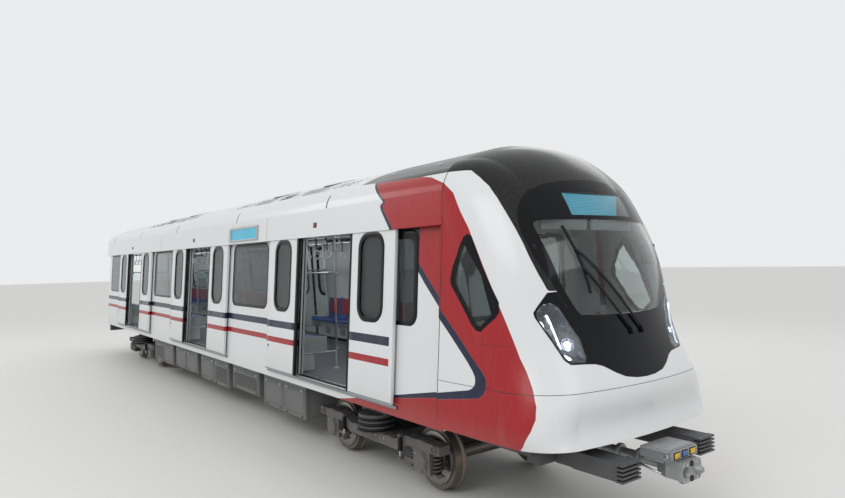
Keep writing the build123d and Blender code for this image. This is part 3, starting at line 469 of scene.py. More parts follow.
body_paint = body_finish("body paint", inside="depth")
cab_paint = body_finish("cab paint", inside="normals")
roof_paint = body_finish("roof paint", inside="normals")
leaf_paint = body_finish("leaf paint", inside="none", bands=leaf_bands)
edge_paint = body_finish("cover edge paint", inside="none")
side_glass = glass_finish("tinted side glass", srgb(132, 141, 141), bend=1.33)
front_glass = glass_finish("windscreen glass", srgb(234, 240, 238), bend=1.38)
cab_glass = glass_finish("cab side glass", srgb(176, 184, 184), bend=1.35)
screen_glass = glass_finish("draught screen glass", srgb(232, 238, 236), bend=1.3)
lens_clear = glass_finish("clear lens", srgb(240, 244, 248), bend=1.3)
black_gloss = plain_finish("black gloss moulding", srgb(12, 13, 16), 0.12, coat=0.08, change=0.2, bump=0.04,
                           shine=0.14)
black_trim = plain_finish("black trim", srgb(22, 23, 26), 0.42, change=0.2, scale=20.0, shine=0.2)
rubber = plain_finish("door rubber", srgb(20, 20, 22), 0.62, change=0.25, scale=30.0, bump=0.35, shine=0.25)
grey_lining = plain_finish("pale lining", srgb(206, 209, 209), 0.45, change=0.05, scale=3.0, bump=0.25)
warm_lining = plain_finish("cab lining", srgb(222, 224, 222), 0.5, change=0.05, scale=3.0, bump=0.3)
vinyl = plain_finish("speckled vinyl floor", srgb(96, 100, 106), 0.5, change=0.55, scale=160.0, bump=0.3)
desk_grain = plain_finish("desk moulding", srgb(34, 36, 40), 0.48, change=0.2, scale=40.0, bump=0.6)
header_black = plain_finish("header panel", srgb(14, 14, 16), 0.5, change=0.2)
steel_tube = plain_finish("brushed tube", srgb(196, 198, 200), 0.28, metal=1.0, change=0.08, scale=60.0, bump=0.08)
track_metal = plain_finish("anodised rail", srgb(150, 153, 156), 0.38, metal=1.0, change=0.1, scale=30.0, dust=0.2,
                           dust_top=1.2)
frame_paint = plain_finish("dark frame paint", srgb(64, 66, 70), 0.55, change=0.3, scale=6.0, bump=0.3, dust=0.75)
box_paint = plain_finish("equipment box paint", srgb(98, 101, 104), 0.5, change=0.15, scale=3.0, bump=0.2,
                         dust=0.55)
wheel_steel = plain_finish("rolled steel", srgb(118, 108, 99), 0.45, metal=0.8, change=0.35, scale=14.0, bump=0.3,
                           dust=0.45, dust_top=0.8)
bellows_skin = plain_finish("bellows fabric", srgb(74, 77, 80), 0.72, change=0.25, scale=40.0, bump=0.5)
silver_paint = plain_finish("silver coupler paint", srgb(152, 154, 156), 0.4, metal=0.5, change=0.2, scale=14.0,
                            dust=0.4, dust_top=0.9)
blue_seat = plain_finish("blue moulded seat", srgb(32, 74, 140), 0.38, change=0.1, scale=14.0, bump=0.25)
red_seat = plain_finish("red moulded seat", srgb(168, 40, 44), 0.38, change=0.1, scale=14.0, bump=0.25)
jamb_paint = plain_finish("pale grey trim", srgb(170, 174, 177), 0.36, metal=0.3, change=0.06, bump=0.12)
chrome = plain_finish("lamp reflector", srgb(228, 231, 236), 0.09, metal=1.0, change=0.03, bump=0.03,
                      rough_change=0.03)
lens_dim = plain_finish("unlit lamp", srgb(196, 204, 214), 0.14, change=0.05, coat=0.5)
roof_trim = plain_finish("roof cover metal", srgb(176, 179, 181), 0.42, metal=0.4, change=0.12, bump=0.15)
handle_grey = plain_finish("handle moulding", srgb(196, 199, 200), 0.4, change=0.05)
seat_cloth = plain_finish("driver seat cloth", srgb(38, 42, 52), 0.85, change=0.5, scale=380.0, bump=0.8)
screen_black = plain_finish("instrument glass", srgb(12, 13, 15), 0.12, coat=0.8, bump=0.02)
visor_grey = plain_finish("sun visor", srgb(146, 150, 152), 0.5, change=0.08)
box_trim = plain_finish("box trim", srgb(58, 60, 63), 0.5, change=0.2, dust=0.4)
spring_paint = plain_finish("spring paint", srgb(40, 42, 46), 0.42, change=0.2, dust=0.5)
cast_iron = plain_finish("cast brake block", srgb(84, 76, 70), 0.6, metal=0.5, change=0.4, scale=40.0, bump=0.5,
                         dust=0.4)
disc_steel = plain_finish("brake disc face", srgb(150, 147, 142), 0.32, metal=1.0, change=0.2, scale=20.0, bump=0.1)
yellow_plate = plain_finish("yellow plate", srgb(212, 170, 44), 0.4, change=0.15, scale=30.0)
blue_plate = plain_finish("blue plate", srgb(70, 108, 158), 0.4, change=0.15, scale=30.0)
lamp_light = glow_finish("lamp light", srgb(238, 243, 255), 14.0)
strip_light = glow_finish("ceiling light", srgb(250, 252, 255), 7.0)
display_lit = dotted_display()
panel_glow = glow_finish("instrument glow", srgb(40, 62, 74), 0.25)
door_lamp = glow_finish("door lamp", srgb(120, 16, 18), 0.25)


def dress(mat, *names):
    """Gives a CAD node its finish."""
    for name in names:
        slots = nodes[name].data.materials
        slots.clear()
        slots.append(mat)


dress(body_paint, "side_wall_right", "side_wall_left", "cantrail_covers")
dress(cab_paint, "cab_shell", "nose_skirt", "cab_ring")
dress(roof_paint, "roof_shell", "roof_units")
dress(side_glass, "side_windows")
dress(cab_glass, "cab_side_windows")
dress(front_glass, "windscreen")
dress(screen_glass, "draught_screens")
dress(black_gloss, "front_mask")
dress(black_trim, "wiper")
dress(header_black, "cab_header")
dress(display_lit, "displays")
dress(strip_light, "light_strips")
dress(vinyl, "floor")
dress(grey_lining, "ceiling", "rear_end_wall")
dress(warm_lining, "cab_bulkhead")
dress(desk_grain, "cab_desk")
dress(steel_tube, "grab_rails")
dress(track_metal, "door_tracks")
dress(frame_paint, "side_sills", "bolsters", "end_beams", "coupler_mount", "anti_climbers", "rear_drawbar",
      "air_tanks", "bogie_1", "bogie_2")
dress(box_paint, "equipment_boxes")
dress(silver_paint, "coupler")
dress(wheel_steel, *("wheelset_%d_%s" % (n, end) for n in (1, 2) for end in ("rear", "front")))


# Shapes that the pieces are built from; each one gives back a fresh bmesh
def round_edges(bm, edges, size, steps=2):
    bmesh.ops.bevel(bm, geom=edges, offset=size, offset_type="OFFSET", segments=steps, profile=0.5,
                    affect="EDGES", material=-1)


def four(x0, x1, z0, z1):
    return ((x0, z0), (x1, z0), (x1, z1), (x0, z1))


def outline(bm, points, r, steps):
    """A flat face in X and Z with rounded corners."""
    corners = [bm.verts.new((x, 0, z)) for x, z in points]
    bm.faces.new(corners)
    if r:
        bmesh.ops.bevel(bm, geom=corners, offset=r, offset_type="OFFSET", segments=steps, profile=0.5,
                        affect="VERTICES", material=-1)


def verts_of(result):
    return [v for v in result["geom"] if isinstance(v, bmesh.types.BMVert)]


def edges_of(result):
    return [e for e in result["geom"] if isinstance(e, bmesh.types.BMEdge)]


def thicken(bm, y0, y1):
    """Pulls the flat faces into a closed body from y0 to y1."""
    bmesh.ops.translate(bm, vec=(0, y0, 0), verts=bm.verts)
    out = bmesh.ops.extrude_face_region(bm, geom=bm.faces[:])
    bmesh.ops.translate(bm, vec=(0, y1 - y0, 0), verts=verts_of(out))
    bmesh.ops.recalc_face_normals(bm, faces=bm.faces[:])


def level_edges(bm):
    """The edges that lie in a plane of X and Z, which are the rims of flat work."""
    return [e for e in bm.edges if abs(e.verts[0].co.y - e.verts[1].co.y) < 1e-6]


def plate(points, y0, y1, r=0.0, edge=0.0, steps=5):
    """A plate in X and Z, from y0 to y1, with rounded corners and softened rims."""
    bm = bmesh.new()
    outline(bm, points, r, steps)
    thicken(bm, y0, y1)
    if edge:
        round_edges(bm, level_edges(bm), edge, 2)
    return bm


def window_ring(outer, inner, y0, y1, edge=0.0, steps=6):
    """A flat frame between two outlines; each is x0, x1, z0, z1 and its corner radius."""
    bm = bmesh.new()
    for x0, x1, z0, z1, r in (outer, inner):
        outline(bm, four(x0, x1, z0, z1), r, steps)
    bmesh.ops.delete(bm, geom=bm.faces[:], context="FACES_ONLY")
    bmesh.ops.bridge_loops(bm, edges=bm.edges[:])
    thicken(bm, y0, y1)
    if edge:
        round_edges(bm, [e for e in level_edges(bm) if e.calc_face_angle(0) > 1.2], edge, 2)
    return bm


def block(lo, hi, edge=0.0, steps=2):
    bm = bmesh.new()
    bmesh.ops.create_cube(bm, size=1.0)
    bmesh.ops.scale(bm, vec=[h - l for l, h in zip(lo, hi)], verts=bm.verts)
    bmesh.ops.translate(bm, vec=[(l + h) / 2 for l, h in zip(lo, hi)], verts=bm.verts)
    if edge:
        round_edges(bm, bm.edges[:], edge, steps)
    return bm


def rod(a, b, r, r2=None, sides=20, edge=0.0):
    """A round bar from a to b, with its rims softened."""
    a, b = Vector(a), Vector(b)
    bm = bmesh.new()
    bmesh.ops.create_cone(bm, cap_ends=True, cap_tris=False, segments=sides, radius1=r,
                          radius2=r if r2 is None else r2, depth=(b - a).length)
    if edge:
        round_edges(bm, [e for e in bm.edges if any(len(f.verts) > 4 for f in e.link_faces)], edge, 2)
    turn = Vector((0, 0, 1)).rotation_difference(b - a).to_matrix().to_4x4()
    bmesh.ops.transform(bm, matrix=Matrix.Translation((a + b) / 2) @ turn, verts=bm.verts)
    return bm


def turned(profile, spot, aim, sides=32):
    """A shape turned round the line through spot along aim, from its radius and height points."""
    bm = bmesh.new()
    line = [bm.verts.new((r, 0, h)) for r, h in profile]
    for a, b in zip(line, line[1:]):
        bm.edges.new((a, b))
    bmesh.ops.spin(bm, geom=bm.verts[:] + bm.edges[:], axis=(0, 0, 1), cent=(0, 0, 0), angle=math.tau,
                   steps=sides, use_merge=True)
    bmesh.ops.remove_doubles(bm, verts=bm.verts[:], dist=1e-6)
    bmesh.ops.recalc_face_normals(bm, faces=bm.faces[:])
    turn = Vector((0, 0, 1)).rotation_difference(Vector(aim)).to_matrix().to_4x4()
    bmesh.ops.transform(bm, matrix=Matrix.Translation(spot) @ turn, verts=bm.verts)
    return bm


def bent_tube(points, r, rings=2, runs=5):
    """A tube along one smooth line through the points."""
    curve = bpy.data.curves.new("tube run", "CURVE")
    curve.dimensions = "3D"
    curve.bevel_depth = r
    curve.bevel_resolution = rings
    curve.use_fill_caps = True
    curve.resolution_u = runs
    spline = curve.splines.new("NURBS")
    spline.points.add(len(points) - 1)
    for p, spot in zip(spline.points, points):
        p.co = (*spot, 1.0)
    spline.order_u = 3
    spline.use_endpoint_u = True
    holder = bpy.data.objects.new("tube run", curve)
    mesh = bpy.data.meshes.new_from_object(holder)
    bm = bmesh.new()
    bm.from_mesh(mesh)
    bmesh.ops.remove_doubles(bm, verts=bm.verts[:], dist=1e-6)
    bpy.data.objects.remove(holder)
    bpy.data.curves.remove(curve)
    bpy.data.meshes.remove(mesh)
    return bm


def skin_copy(node, aim, least=0.3):
    """A merged copy of the faces of a node that look along aim."""
    bm = bmesh.new()
    bm.from_mesh(nodes[node].data)
    bmesh.ops.remove_doubles(bm, verts=bm.verts[:], dist=2e-5)
    bm.normal_update()
    aim = Vector(aim).normalized()
    bmesh.ops.delete(bm, geom=[f for f in bm.faces if f.normal.dot(aim) < least], context="FACES")
    return bm


def slice_off(bm, spot, normal):
    """Cuts the sheet at a plane and drops what lies in front of it."""
    bmesh.ops.bisect_plane(bm, geom=bm.verts[:] + bm.edges[:] + bm.faces[:], dist=1e-6, plane_co=spot,
                           plane_no=normal, clear_outer=True)


def cut_opening(bm, points, axes=(1, 2), keep_inside=False):
    """Cuts the sheet along a closed bulging outline, seen along the third axis."""
    a, b = axes
    sides = list(zip(points, points[1:] + points[:1]))
    for p, q in sides:
        spot, normal = Vector(), Vector()
        spot[a], spot[b] = p
        normal[a], normal[b] = q[1] - p[1], p[0] - q[0]
        bmesh.ops.bisect_plane(bm, geom=bm.verts[:] + bm.edges[:] + bm.faces[:], dist=1e-6, plane_co=spot,
                               plane_no=normal)

    def inside(face):
        c = face.calc_center_median()
        turns = [(q[0] - p[0]) * (c[b] - p[1]) - (q[1] - p[1]) * (c[a] - p[0]) > 0 for p, q in sides]
        return all(turns) or not any(turns)

    gone = [f for f in bm.faces if inside(f) != keep_inside]
    bmesh.ops.delete(bm, geom=gone, context="FACES")
    bmesh.ops.dissolve_degenerate(bm, dist=1e-5, edges=bm.edges[:])


def shell(bm, lift, depth):
    """Lifts a sheet off the face that it was copied from and gives it a wall inwards."""
    bm.normal_update()
    for v in bm.verts:
        v.co += v.normal * lift
    bmesh.ops.solidify(bm, geom=bm.faces[:], thickness=depth)
    return bm


def mirrored(points):
    """Both halves of an outline given as half widths and heights, from the middle outwards."""
    return [(y, z) for y, z in points] + [(-y, z) for y, z in reversed(points)]


class Piece:
    """Gathers the shapes of one piece, each with its own finish."""

    def __init__(self, name):
        self.name = name
        self.bm = bmesh.new()
        self.finishes = []

    def slot_of(self, finish):
        if finish not in self.finishes:
            self.finishes.append(finish)
        return self.finishes.index(finish)

    def add(self, part, finish, turn=None, back=None):
        """back is the finish of the faces that look along -Y before the part is turned."""
        part.normal_update()
        front = self.slot_of(finish)
        rear = front if back is None else self.slot_of(back)
        for f in part.faces:
            f.material_index = rear if f.normal.y < -0.5 else front
        if turn is not None:
            bmesh.ops.transform(part, matrix=turn, verts=part.verts)
            if turn.determinant() < 0:
                bmesh.ops.reverse_faces(part, faces=part.faces)
        carrier = bpy.data.meshes.new("carrier")
        part.to_mesh(carrier)
        part.free()
        self.bm.from_mesh(carrier)
        bpy.data.meshes.remove(carrier)
        return self

    def done(self, body, slot, *stands_for, sharp=32):
        mesh = bpy.data.meshes.new(self.name)
        self.bm.to_mesh(mesh)
        self.bm.free()
        for finish in self.finishes:
            mesh.materials.append(finish)
        for face in mesh.polygons:
            face.use_smooth = True
        mesh.set_sharp_from_angle(angle=math.radians(sharp))
        obj = bpy.data.objects.new(self.name, mesh)
        bpy.context.scene.collection.objects.link(obj)
        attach(obj, body)
        if stands_for:
            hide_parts(*stands_for)
        return obj


def span(side, a, b):
    """Two distances out from the middle, as lower and higher y on one side."""
    return sorted((side * a, side * b))


def to_side(side, x=0.0, y=0.0):
    """Turns work for one side: x from here on, y out to that side."""
    return Matrix(((1, 0, 0, x), (0, side, 0, y), (0, 0, 1, 0), (0, 0, 0, 1)))


def to_end(flip, x=0.0, z=0.0, d=1):
    """Lays flat work across the car: its y along x, its x across by flip."""
    return Matrix(((0, d, 0, x), (flip, 0, 0, 0), (0, 0, 1, z), (0, 0, 0, 1)))


def on_side(side, lead=0.0, step=1):
    """Leans flat work onto the side wall: x from lead, y out from the skin, z up."""
    foot = skin_half + skin_ref_z * lean_rate
    return Matrix(((step, 0, 0, lead), (0, side, -side * lean_rate, side * foot), (0, 0, 1, 0), (0, 0, 0, 1)))


# Door leaves, with their windows, rubber edges and hangers
def make_leaf(name, side, lead, step, lock=False):
    lean = on_side(side, lead, step)
    mid = leaf_w / 2
    panel = Piece("leaf_" + name)
    pane_x0, pane_x1 = mid - glass_w / 2, mid + glass_w / 2
    hole = (pane_x0 - 0.0005, pane_x1 + 0.0005, glass_z0 - 0.0005, glass_z1 + 0.0005, 0.190)
    panel.add(window_ring((0.0545, leaf_w, leaf_z0, leaf_z1, 0.012), hole, leaf_in, leaf_out, 0.003, 8),
              leaf_paint, lean, back=grey_lining)
    clear = (pane_x0 + 0.062, pane_x1 - 0.062, glass_z0 + 0.052, glass_z1 - 0.052, 0.135)
    for y0, y1 in ((leaf_out - 0.009, leaf_out + 0.0025), (leaf_in - 0.002, leaf_in + 0.005)):
        rim = (pane_x0 - 0.002, pane_x1 + 0.002, glass_z0 - 0.002, glass_z1 + 0.010, 0.192)
        panel.add(window_ring(rim, clear, y0, y1, 0.0015, 8), black_gloss, lean)
    panel.add(block((0.058, leaf_in - 0.004, 1.034), (leaf_w - 0.004, leaf_out + 0.002, 1.052), 0.003), track_metal,
              lean)
    panel.add(block((0.0, 0.0335, 1.033), (0.0575, 0.0665, 2.988), 0.011, 3), rubber, lean)
    for y in (0.038, 0.050, 0.062):
        panel.add(block((-0.0015, y - 0.0035, 1.040), (0.010, y + 0.0035, 2.980), 0.0015), rubber, lean)
    for x in (mid - 0.300, mid + 0.300):
        panel.add(block((x - 0.060, 0.007, 3.120), (x + 0.060, leaf_in + 0.004, 3.149), 0.003), track_metal, lean)
        for dx in (-0.036, 0.036):
            panel.add(rod((x + dx, 0.004, 3.134), (x + dx, 0.012, 3.134), 0.008, sides=6), steel_tube, lean)
    panel.add(block((leaf_w - 0.100, leaf_in - 0.006, 1.950), (leaf_w - 0.070, leaf_in + 0.002, 2.150), 0.003),
              black_trim, lean)
    if lock:
        panel.add(turned([(0.0, 0.006), (0.006, 0.0055), (0.008, 0.003), (0.020, 0.003), (0.023, 0.0), (0.0, 0.0)],
                         (leaf_w - 0.077, leaf_out - 0.0005, 1.377), (0, 1, 0), 24), black_trim, lean)
    panel.done("door_" + name, "door_leaf", "door_" + name)
    pane = Piece("leaf_glass_" + name)
    pane.add(plate(four(pane_x0, pane_x1, glass_z0, glass_z1), leaf_in + 0.008, leaf_out - 0.008, 0.189, steps=8),
             side_glass, lean)
    pane.done("door_" + name, "glass")


for n, door_x in enumerate(door_xs):
    half = door_clear / 2
    for side_name, side, gap in (("right", -1, half), ("left", 1, 0.003)):
        make_leaf("%s_%d_front" % (side_name, n + 1), side, door_x + gap, 1)
        make_leaf("%s_%d_rear" % (side_name, n + 1), side, door_x - gap, -1, lock=True)


# Black borders and inner frames of the side windows
def make_window_frames(side_name, side):
    lean = on_side(side)
    frames = Piece("window_frames_" + side_name)
    for xc, w in window_rows:
        x0, x1 = xc - w / 2, xc + w / 2
        border = 0.042 if w > 1 else 0.085
        low, high = window_z0 + 0.042, window_z1 - (0.042 if w > 1 else 0.100)
        clear = (x0 + border, x1 - border, low, high, 0.105)
        frames.add(window_ring((x0 - 0.001, x1 + 0.001, window_z0 - 0.001, window_z1 + 0.001, 0.140), clear,
                               -0.004, 0.0025, 0.001, 8), black_gloss, lean)
        frames.add(window_ring((x0 + 0.002, x1 - 0.002, window_z0 + 0.002, window_z1 - 0.002, 0.138), clear,
                               -0.034, -0.026, 0.0, 8), black_trim, lean)
        trim = (x0 - 0.030, x1 + 0.030, window_z0 - 0.030, window_z1 + 0.030, 0.165)
        frames.add(window_ring(trim, (x0 + 0.012, x1 - 0.012, window_z0 + 0.012, window_z1 - 0.012, 0.125),
                               -0.071, -0.050, 0.005, 8), warm_lining, lean)
    frames.done("car", "black_gloss")


# Doorway edges: pale jamb strips, rubber seals, treadplates and the dark frame behind the leaves
def make_doorways(side_name, side):
    lean = on_side(side)
    edges = Piece("doorways_" + side_name)
    for door_x in door_xs:
        for d in (-1, 1):
            x = door_x + d * door_clear / 2
            x0, x1 = sorted((x - d * 0.006, x + d * 0.004))
            edges.add(block((x0, -0.066, 1.046), (x1, -0.004, 2.945), 0.002), jamb_paint, lean)
            x0, x1 = sorted((x + d * 0.002, x + d * 0.030))
            edges.add(block((x0, -0.002, 1.034), (x1, 0.006, 2.948), 0.002), rubber, lean)
            x0, x1 = sorted((x - d * 0.012, x + d * 0.004))
            edges.add(block((x0, -0.040, 1.044), (x1, -0.026, 2.945), 0.004), rubber, lean)
            x0, x1 = sorted((x - d * 0.002, x + d * 0.075))
            edges.add(block((x0, -0.073, 1.046), (x1, -0.061, 3.02), 0.003), warm_lining, lean)
        x0, x1 = door_x - door_clear / 2, door_x + door_clear / 2
        edges.add(block((x0 + 0.004, -0.110, floor_top), (x1 - 0.004, -0.062, 1.0465), 0.002), steel_tube, lean)
        edges.add(block((x0 + 0.004, -0.064, 1.0255), (x1 - 0.004, 0.016, 1.0415), 0.003), steel_tube, lean)
        for k in range(5):
            y = -0.054 + 0.014 * k
            edges.add(block((x0 + 0.010, y - 0.003, floor_top), (x1 - 0.010, y + 0.003, 1.0445), 0.0012),
                      black_trim, lean)
        edges.add(block((x0 - 0.050, -0.074, 2.948), (x1 + 0.050, -0.056, 3.150), 0.004), warm_lining, lean)
        edges.add(block((x0 + 0.100, -0.079, 2.975), (x1 - 0.100, -0.071, 3.120), 0.003), warm_lining, lean)
        for x in (x0 + 0.16, x1 - 0.16):
            edges.add(rod((x, -0.081, 3.100), (x, -0.070, 3.100), 0.011, sides=12), steel_tube, lean)
    edges.done("car", "track")


# Side displays, door lamps and drip edges on the covers, with a dark strip of painted shadow under each cover edge
def make_cover_work(side_name, side):
    lean = on_side(side)
    work = Piece("cover_work_" + side_name)
    y = cover_out
    work.add(window_ring((1.560, 2.795, 2.985, 3.222, 0.022), (1.640, 2.762, 3.012, 3.183, 0.010), y - 0.001,
                         y + 0.0245, 0.003), jamb_paint, lean)
    for x in (1.590, 2.778):
        for z in (3.005, 3.203):
            work.add(rod((x, y + 0.022, z), (x, y + 0.0265, z), 0.005, sides=6), steel_tube, lean)
    for door_x in door_xs:
        x = door_x - 0.200
        work.add(plate(four(x - 0.045, x + 0.045, 3.066, 3.134), y - 0.001, y + 0.006, 0.012, 0.002), black_trim,
                 lean)
        work.add(plate(four(x - 0.030, x + 0.030, 3.078, 3.122), y + 0.002, y + 0.012, 0.010, 0.003), door_lamp,
                 lean)
    # thin black strips under the covers' lower edges: painted shadow line below the cover
    for x0, x1 in ((-8.82, -2.92), (-2.86, 3.10), (3.16, 7.40)):
        work.add(block((x0, 0.004, 2.9465), (x1, y - 0.004, 2.952), 0.0015), black_trim, lean)
    work.add(block((body_rear + 0.02, y - 0.006, 2.944), (body_front - 0.002, y + 0.003, 2.956), 0.003), edge_paint,
             lean)
    work.add(block((body_rear + 0.02, 0.010, 3.296), (body_front - 0.002, y - 0.002, 3.304), 0.002), edge_paint,
             lean)
    for x in (-2.89, 3.13):
        work.add(block((x - 0.003, y - 0.0035, 2.955), (x + 0.003, y + 0.0008, 3.298), 0.0), black_trim, lean)
    work.done("car", "black_matt")


for side_name, side in (("right", -1), ("left", 1)):
    make_window_frames(side_name, side)
    make_doorways(side_name, side)
    make_cover_work(side_name, side)


# Black print round the windscreen and the cab side windows
def make_glass_print():
    clear = mirrored([(0.300, 2.049), (0.581, 2.057), (0.641, 2.097), (0.692, 2.180), (0.740, 2.268),
                      (0.788, 2.373), (0.826, 2.530), (0.862, 2.740), (0.880, 2.900), (0.866, 2.932),
                      (0.820, 2.946), (0.500, 2.950)])
    display = list(four(-0.470, 0.470, 2.995, 3.230))
    sheet = skin_copy("windscreen", (0.75, 0, 0.66), 0.2)
    cut_opening(sheet, clear)
    cut_opening(sheet, display)
    work = Piece("windscreen_print")
    work.add(shell(sheet, 0.0008, 0.0006), black_gloss)
    work.done("car", "black_gloss", sharp=24)
    # outline of the cab side window: distance back from the coupler face and height, drawn in towards its middle
    back = ((1.485, 2.814), (1.536, 2.841), (1.580, 2.813), (1.653, 2.699), (1.736, 2.524), (1.764, 2.407),
            (1.752, 2.352), (1.459, 1.976), (1.394, 1.932), (1.329, 1.927), (1.171, 2.062), (1.146, 2.112),
            (1.157, 2.201), (1.271, 2.393), (1.348, 2.530))
    cx, cz = 1.456, 2.384
    border_w = 0.046
    inset = []
    for b, z in back:
        reach = math.hypot(b - cx, z - cz)
        share = 1 - border_w / reach
        inset.append((coupler_face - (cx + (b - cx) * share), cz + (z - cz) * share))
    border = Piece("cab_window_print")
    for side in (-1, 1):
        sheet = skin_copy("cab_side_windows", (0.15, side, 0.1), 0.5)
        cut_opening(sheet, inset, axes=(0, 2))
        border.add(shell(sheet, 0.0008, 0.0006), black_gloss)
    border.done("car", "black_gloss", sharp=24)


make_glass_print()


# Headlamps: clear lens over a dark tray, with two bowls and a bright edge strip
def make_headlamps():
    lens = Piece("headlamp_lenses")
    tray = Piece("headlamp_trays")
    glow = Piece("headlamp_lights")
    for side in (-1, 1):
        aim = Vector((0.86, side * 0.38, 0.34)).normalized()
        sheet = skin_copy("headlamps", aim, 0.25)
        back = sheet.copy()
        lens.add(shell(sheet, 0.0, 0.004), lens_clear)
        bmesh.ops.translate(back, vec=-0.036 * aim, verts=back.verts)
        rim = [e for e in back.edges if e.is_boundary]
        out = bmesh.ops.extrude_edge_only(back, edges=rim)
        bmesh.ops.translate(back, vec=0.030 * aim, verts=verts_of(out))
        bmesh.ops.recalc_face_normals(back, faces=back.faces[:])
        flat = max(back.faces, key=lambda f: f.calc_area())
        if flat.normal.dot(aim) < 0:
            bmesh.ops.reverse_faces(back, faces=back.faces[:])
        bmesh.ops.solidify(back, geom=back.faces[:], thickness=0.002)
        tray.add(back, black_gloss)
        strip = [(8.528, 0.958, 2.085), (8.548, 0.931, 2.020), (8.562, 0.912, 1.953), (8.602, 0.892, 1.845),
                 (8.640, 0.874, 1.745), (8.676, 0.842, 1.700), (8.700, 0.780, 1.688)]
        run = [Vector((x, side * y, z)) - 0.020 * aim for x, y, z in strip]
        glow.add(bent_tube(run, 0.009), lamp_light)
        tray.add(bent_tube([p - 0.008 * aim for p in run], 0.015), silver_paint)
        for spot, r, lit in (((8.634, 0.806, 1.824), 0.062, True), ((8.572, 0.845, 1.990), 0.050, False)):
            centre = Vector((spot[0], side * spot[1], spot[2])) - 0.016 * aim
            bowl = [(r * 0.36, -0.020), (r * 0.62, -0.014), (r * 0.88, -0.003), (r, 0.006), (r * 1.06, 0.006),
                    (r * 1.06, -0.022), (0.0, -0.022), (0.0, -0.020), (r * 0.36, -0.020)]
            tray.add(turned(bowl, centre, aim, 36), chrome)
            bulb = [(0.0, 0.008), (r * 0.30, 0.005), (r * 0.50, -0.004), (r * 0.56, -0.012), (0.0, -0.012),
                    (0.0, 0.008)]
            glow.add(turned(bulb, centre, aim, 28), lamp_light if lit else lens_dim)
        bar = [(8.520, 0.880, 2.120), (8.566, 0.790, 1.986), (8.625, 0.715, 1.860), (8.690, 0.700, 1.760)]
        tray.add(bent_tube([Vector((x, side * y, z)) - 0.022 * aim for x, y, z in bar], 0.011), black_trim)
    lens.done("car", "lamp", "headlamps", sharp=60)
    tray.done("car", "black_matt", sharp=50)
    glow.done("car", "lamp")


make_headlamps()


# Folded gangway with its end frames and floor plate
def fold_tube(half_w, half_h, r, x0, x1, folds, deep):
    """A rounded tube along X whose wall is folded in and out, each fold in four steps."""
    bm = bmesh.new()
    outline(bm, four(-half_w, half_w, -half_h, half_h), r, 5)
    bmesh.ops.delete(bm, geom=bm.faces[:], context="FACES_ONLY")
    loop = bm.edges[:]
    step = (x1 - x0) / (folds * 4)
    for k in range(folds * 4):
        out = bmesh.ops.extrude_edge_only(bm, edges=loop)
        loop, ring = edges_of(out), verts_of(out)
        bmesh.ops.translate(bm, vec=(0, step, 0), verts=ring)
        part_in, full_in = 1 - deep * 0.75, 1 - deep
        grow = (part_in, 1 / part_in * full_in, part_in / full_in, 1 / part_in)[k % 4]
        bmesh.ops.scale(bm, vec=(grow, 1, grow), verts=ring)
    bmesh.ops.recalc_face_normals(bm, faces=bm.faces[:])
    bmesh.ops.transform(bm, matrix=to_end(-1, x0, gangway_z), verts=bm.verts)
    return bm


def make_gangway():
    along = to_end(-1, z=gangway_z)
    work = Piece("gangway")
    folds_x, folds = (-9.305, -8.875), 7
    outer = fold_tube(0.892, 1.142, 0.175, *folds_x, folds, 0.060)
    bmesh.ops.solidify(outer, geom=outer.faces[:], thickness=0.006)
    work.add(outer, bellows_skin)
    inner = fold_tube(0.775, 1.025, 0.095, *folds_x, folds, -0.030)
    bmesh.ops.reverse_faces(inner, faces=inner.faces[:])
    bmesh.ops.solidify(inner, geom=inner.faces[:], thickness=0.006)
    work.add(inner, bellows_skin)
    for x0, x1 in ((-9.330, -9.296), (-8.884, end_wall_face)):
        work.add(window_ring((-0.900, 0.900, -1.150, 1.150, 0.180), (-0.770, 0.770, -1.020, 1.020, 0.090), x0, x1,
                             0.004),
                 track_metal, along)
    work.add(window_ring((-0.880, 0.880, -1.130, 1.130, 0.165), (-0.790, 0.790, -1.040, 1.040, 0.100), -9.096,
                         -9.084, 0.003), track_metal, along)
    for k in range(9):
        for side in (-1, 1):
            z = 1.16 + k * 0.23
            work.add(rod((-9.332, side * 0.835, z), (-9.326, side * 0.835, z), 0.010, sides=6), steel_tube)
    work.add(block((-9.320, -0.630, 1.0605), (-9.085, 0.630, 1.0795), 0.003), steel_tube)
    work.add(block((-9.150, -0.625, 1.0705), (end_wall_face, 0.625, 1.0815), 0.003), steel_tube)
    for k in range(11):
        x = -9.300 + k * 0.042
        work.add(block((x - 0.006, -0.600, 1.078), (x + 0.006, 0.600, 1.0838), 0.002), track_metal)
    work.done("car", "bellows", "gangway_bellows")


make_gangway()


# Roof: joint strips, grooves, louvres, vent patches and fan guards; the dark in the grooves, slots, holes and fan
# openings is painted shade
crown_r = 2.122
crown_z = 3.838


def on_roof(x, y, side):
    """Lays flat work on the roof arc: x along the car, y out of the roof, z towards the crown."""
    s = y / crown_r
    c = math.sqrt(1 - s * s)
    return Matrix(((1, 0, 0, x), (0, side * s, -side * c, side * y), (0, c, s, crown_z - crown_r * (1 - c)),
                   (0, 0, 0, 1)))


def strip_of(node, aim, x0, x1, lift, low=None, high=None, from_y=None, side=1):
    sheet = skin_copy(node, aim, 0.15)
    slice_off(sheet, (x0, 0, 0), (-1, 0, 0))
    slice_off(sheet, (x1, 0, 0), (1, 0, 0))
    if low is not None:
        slice_off(sheet, (0, 0, low), (0, 0, -1))
        slice_off(sheet, (0, 0, high), (0, 0, 1))
    if from_y is not None:
        slice_off(sheet, (0, side * from_y, 0), (0, -side, 0))
    return shell(sheet, lift, lift * 0.9)


